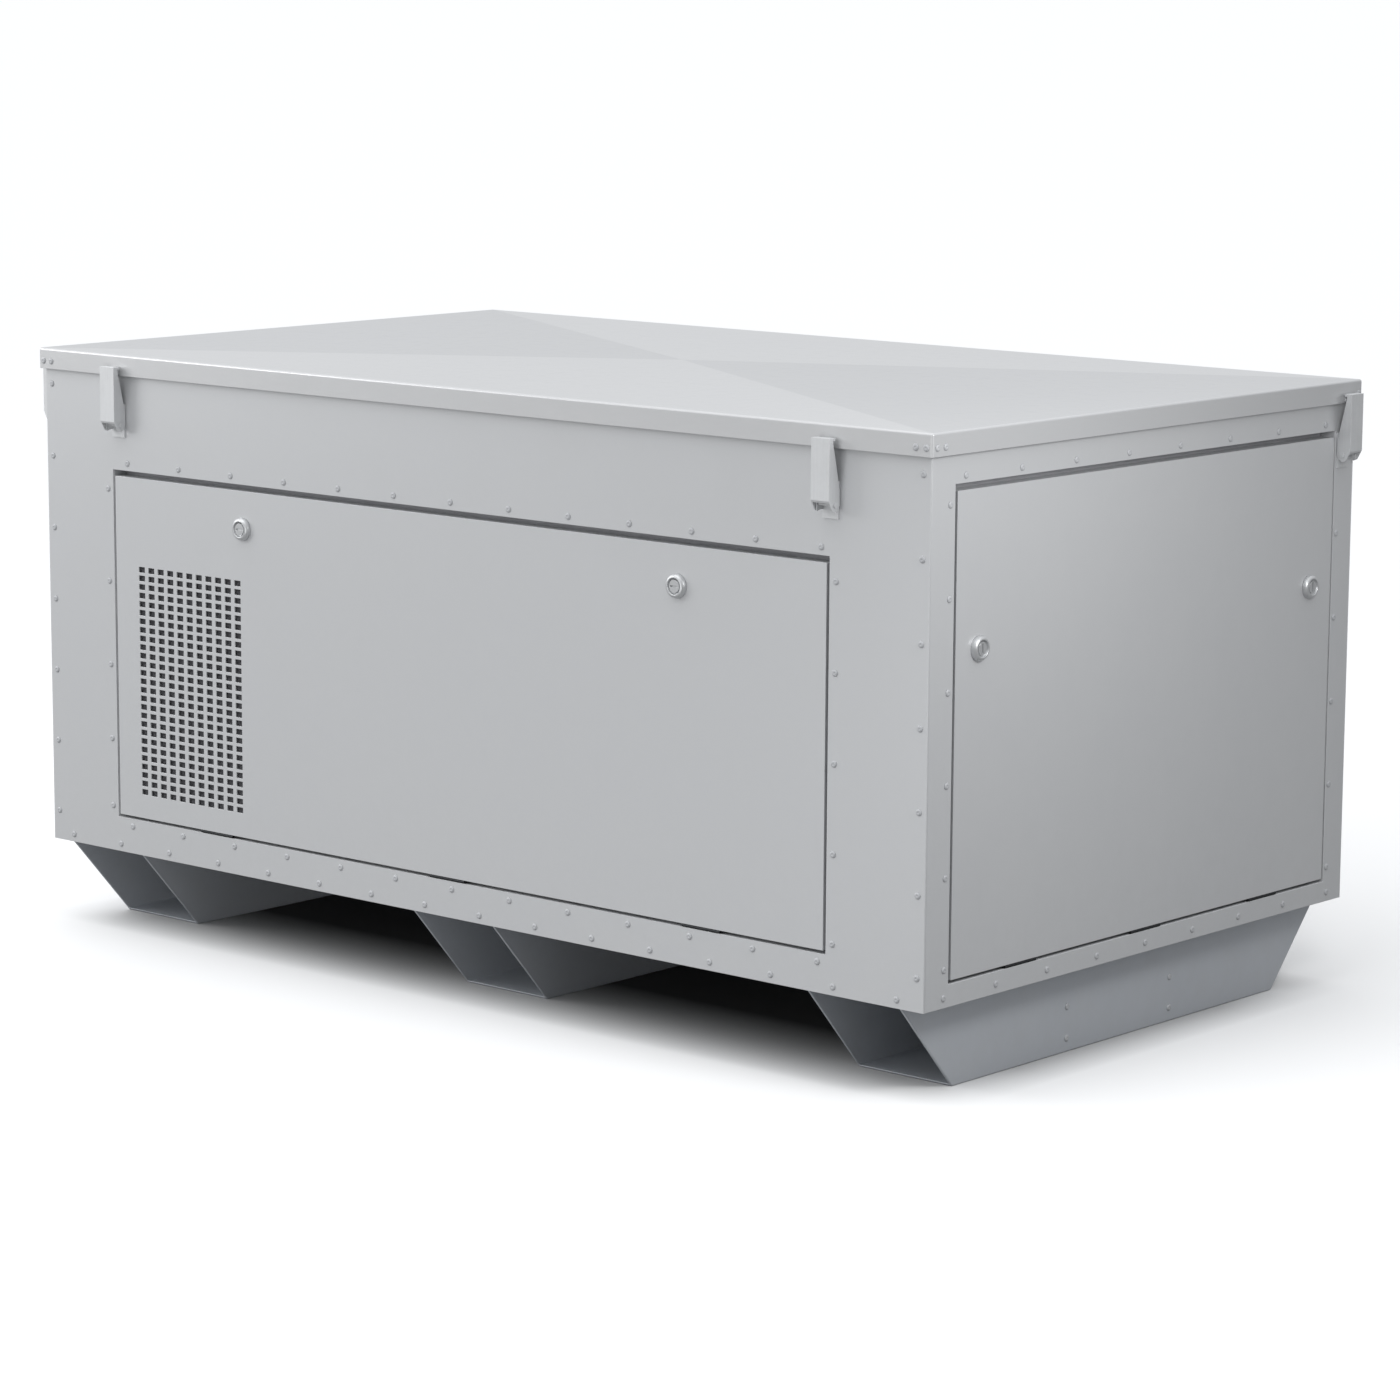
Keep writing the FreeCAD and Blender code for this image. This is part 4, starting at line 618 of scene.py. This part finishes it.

# stage and light

# shade, softIn, softOut and softFront: depth and soft edges of the floor's painted shadow under the body
stageLook = {"floorSize": 400, "seen": 0.95, "bounce": 0.27, "rough": 0.9,
             "shade": 0.08, "softIn": 0.10, "softOut": 0.04, "softFront": 0.22}
skyLook = {"level": 0.46, "up": 0.72, "right": -0.19, "back": -0.02, "tint": (0.965, 0.98, 1.0)}
sunLook = {"power": 0.55, "turn": (30, 0, -32), "soft": 50}
lampLook = {"leftLamp": {"place": (-2.6, -2.0, 1.5), "aim": (-0.6, -0.4, 0.5), "size": 1.6, "power": 27},
            "rightLamp": {"place": (1.5, -0.42, 1.0), "aim": (0.75, -0.3, 0.74), "size": 0.4, "power": 4.8},
            "lowLamp": {"place": (0.3, -2.0, 0.22), "aim": (0.0, -0.3, 0.10), "size": 0.9, "power": 5.5}}


def makeStage(look):
    # a pale floor; what it throws back on the object is kept down, and a painted shadow darkens it right
    # under the body
    floor = Finish("floorWhite")
    seen = floor.add("ShaderNodeLightPath", {}, {}, "Is Camera Ray")
    alongX, alongY = (part.maths("ABSOLUTE") for part in floor.apart(floor.coords)[:2])
    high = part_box("base_tray")[1]
    shadowPaintX = 1 - floor.between(alongX, high[0] - look["softIn"], high[0] + look["softOut"])
    shadowPaintY = 1 - floor.between(alongY, high[1] - look["softFront"], high[1])
    colour = floor.blend(seen, (look["bounce"],) * 3, (look["seen"],) * 3)
    # painted shadow: the floor's colour is darkened inside the body's footprint
    colour = floor.blend(shadowPaintX * shadowPaintY, colour, (look["shade"] * look["bounce"],) * 3)
    floor.give(Base_Color=colour, Roughness=look["rough"])
    half = look["floorSize"] / 2
    corners = np.array([[-half, -half, 0], [-half, half, 0], [half, -half, 0], [half, half, 0]])
    mesh = shapeMesh("floor", corners, gridQuads(np.arange(4).reshape(2, 2)))
    mesh.materials.append(floor.material)
    ground = bpy.data.objects.new("floor", mesh)
    bpy.context.collection.objects.link(ground)


def makeSky(look):
    # a plain studio sky, brighter overhead, and white where it is looked at directly
    world = bpy.data.worlds.new("sky")
    world.use_nodes = True
    bpy.context.scene.world = world
    sky = NodeSet(world.node_tree)
    x, y, z = sky.apart(sky.add("ShaderNodeTexCoord", {}, {}, "Generated"))
    level = z * look["up"] + look["level"] + x * look["right"] + y * look["back"]
    seen = sky.add("ShaderNodeLightPath", {}, {}, "Is Camera Ray")
    back = world.node_tree.nodes["Background"]
    sky.feed(back.inputs["Color"], look["tint"])
    sky.feed(back.inputs["Strength"], level.maths("MAXIMUM", seen))


def makeSun(name, look):
    data = bpy.data.lights.new(name, "SUN")
    data.energy, data.angle = look["power"], math.radians(look["soft"])
    lamp = bpy.data.objects.new(name, data)
    lamp.rotation_euler = tuple(math.radians(part) for part in look["turn"])
    bpy.context.collection.objects.link(lamp)


def makeLamp(name, look):
    data = bpy.data.lights.new(name, "AREA")
    data.shape, data.size, data.energy = "DISK", look["size"], look["power"]
    lamp = bpy.data.objects.new(name, data)
    lamp.location = look["place"]
    aim = Vector(look["aim"]) - Vector(look["place"])
    lamp.rotation_euler = aim.to_track_quat("-Z", "Y").to_euler()
    lamp.visible_camera = False
    bpy.context.collection.objects.link(lamp)


makeStage(stageLook)
makeSky(skyLook)
makeSun("topSun", sunLook)
for name, look in lampLook.items():
    makeLamp(name, look)
bpy.context.scene.view_settings.view_transform = "Standard"
print("stage and lights set")
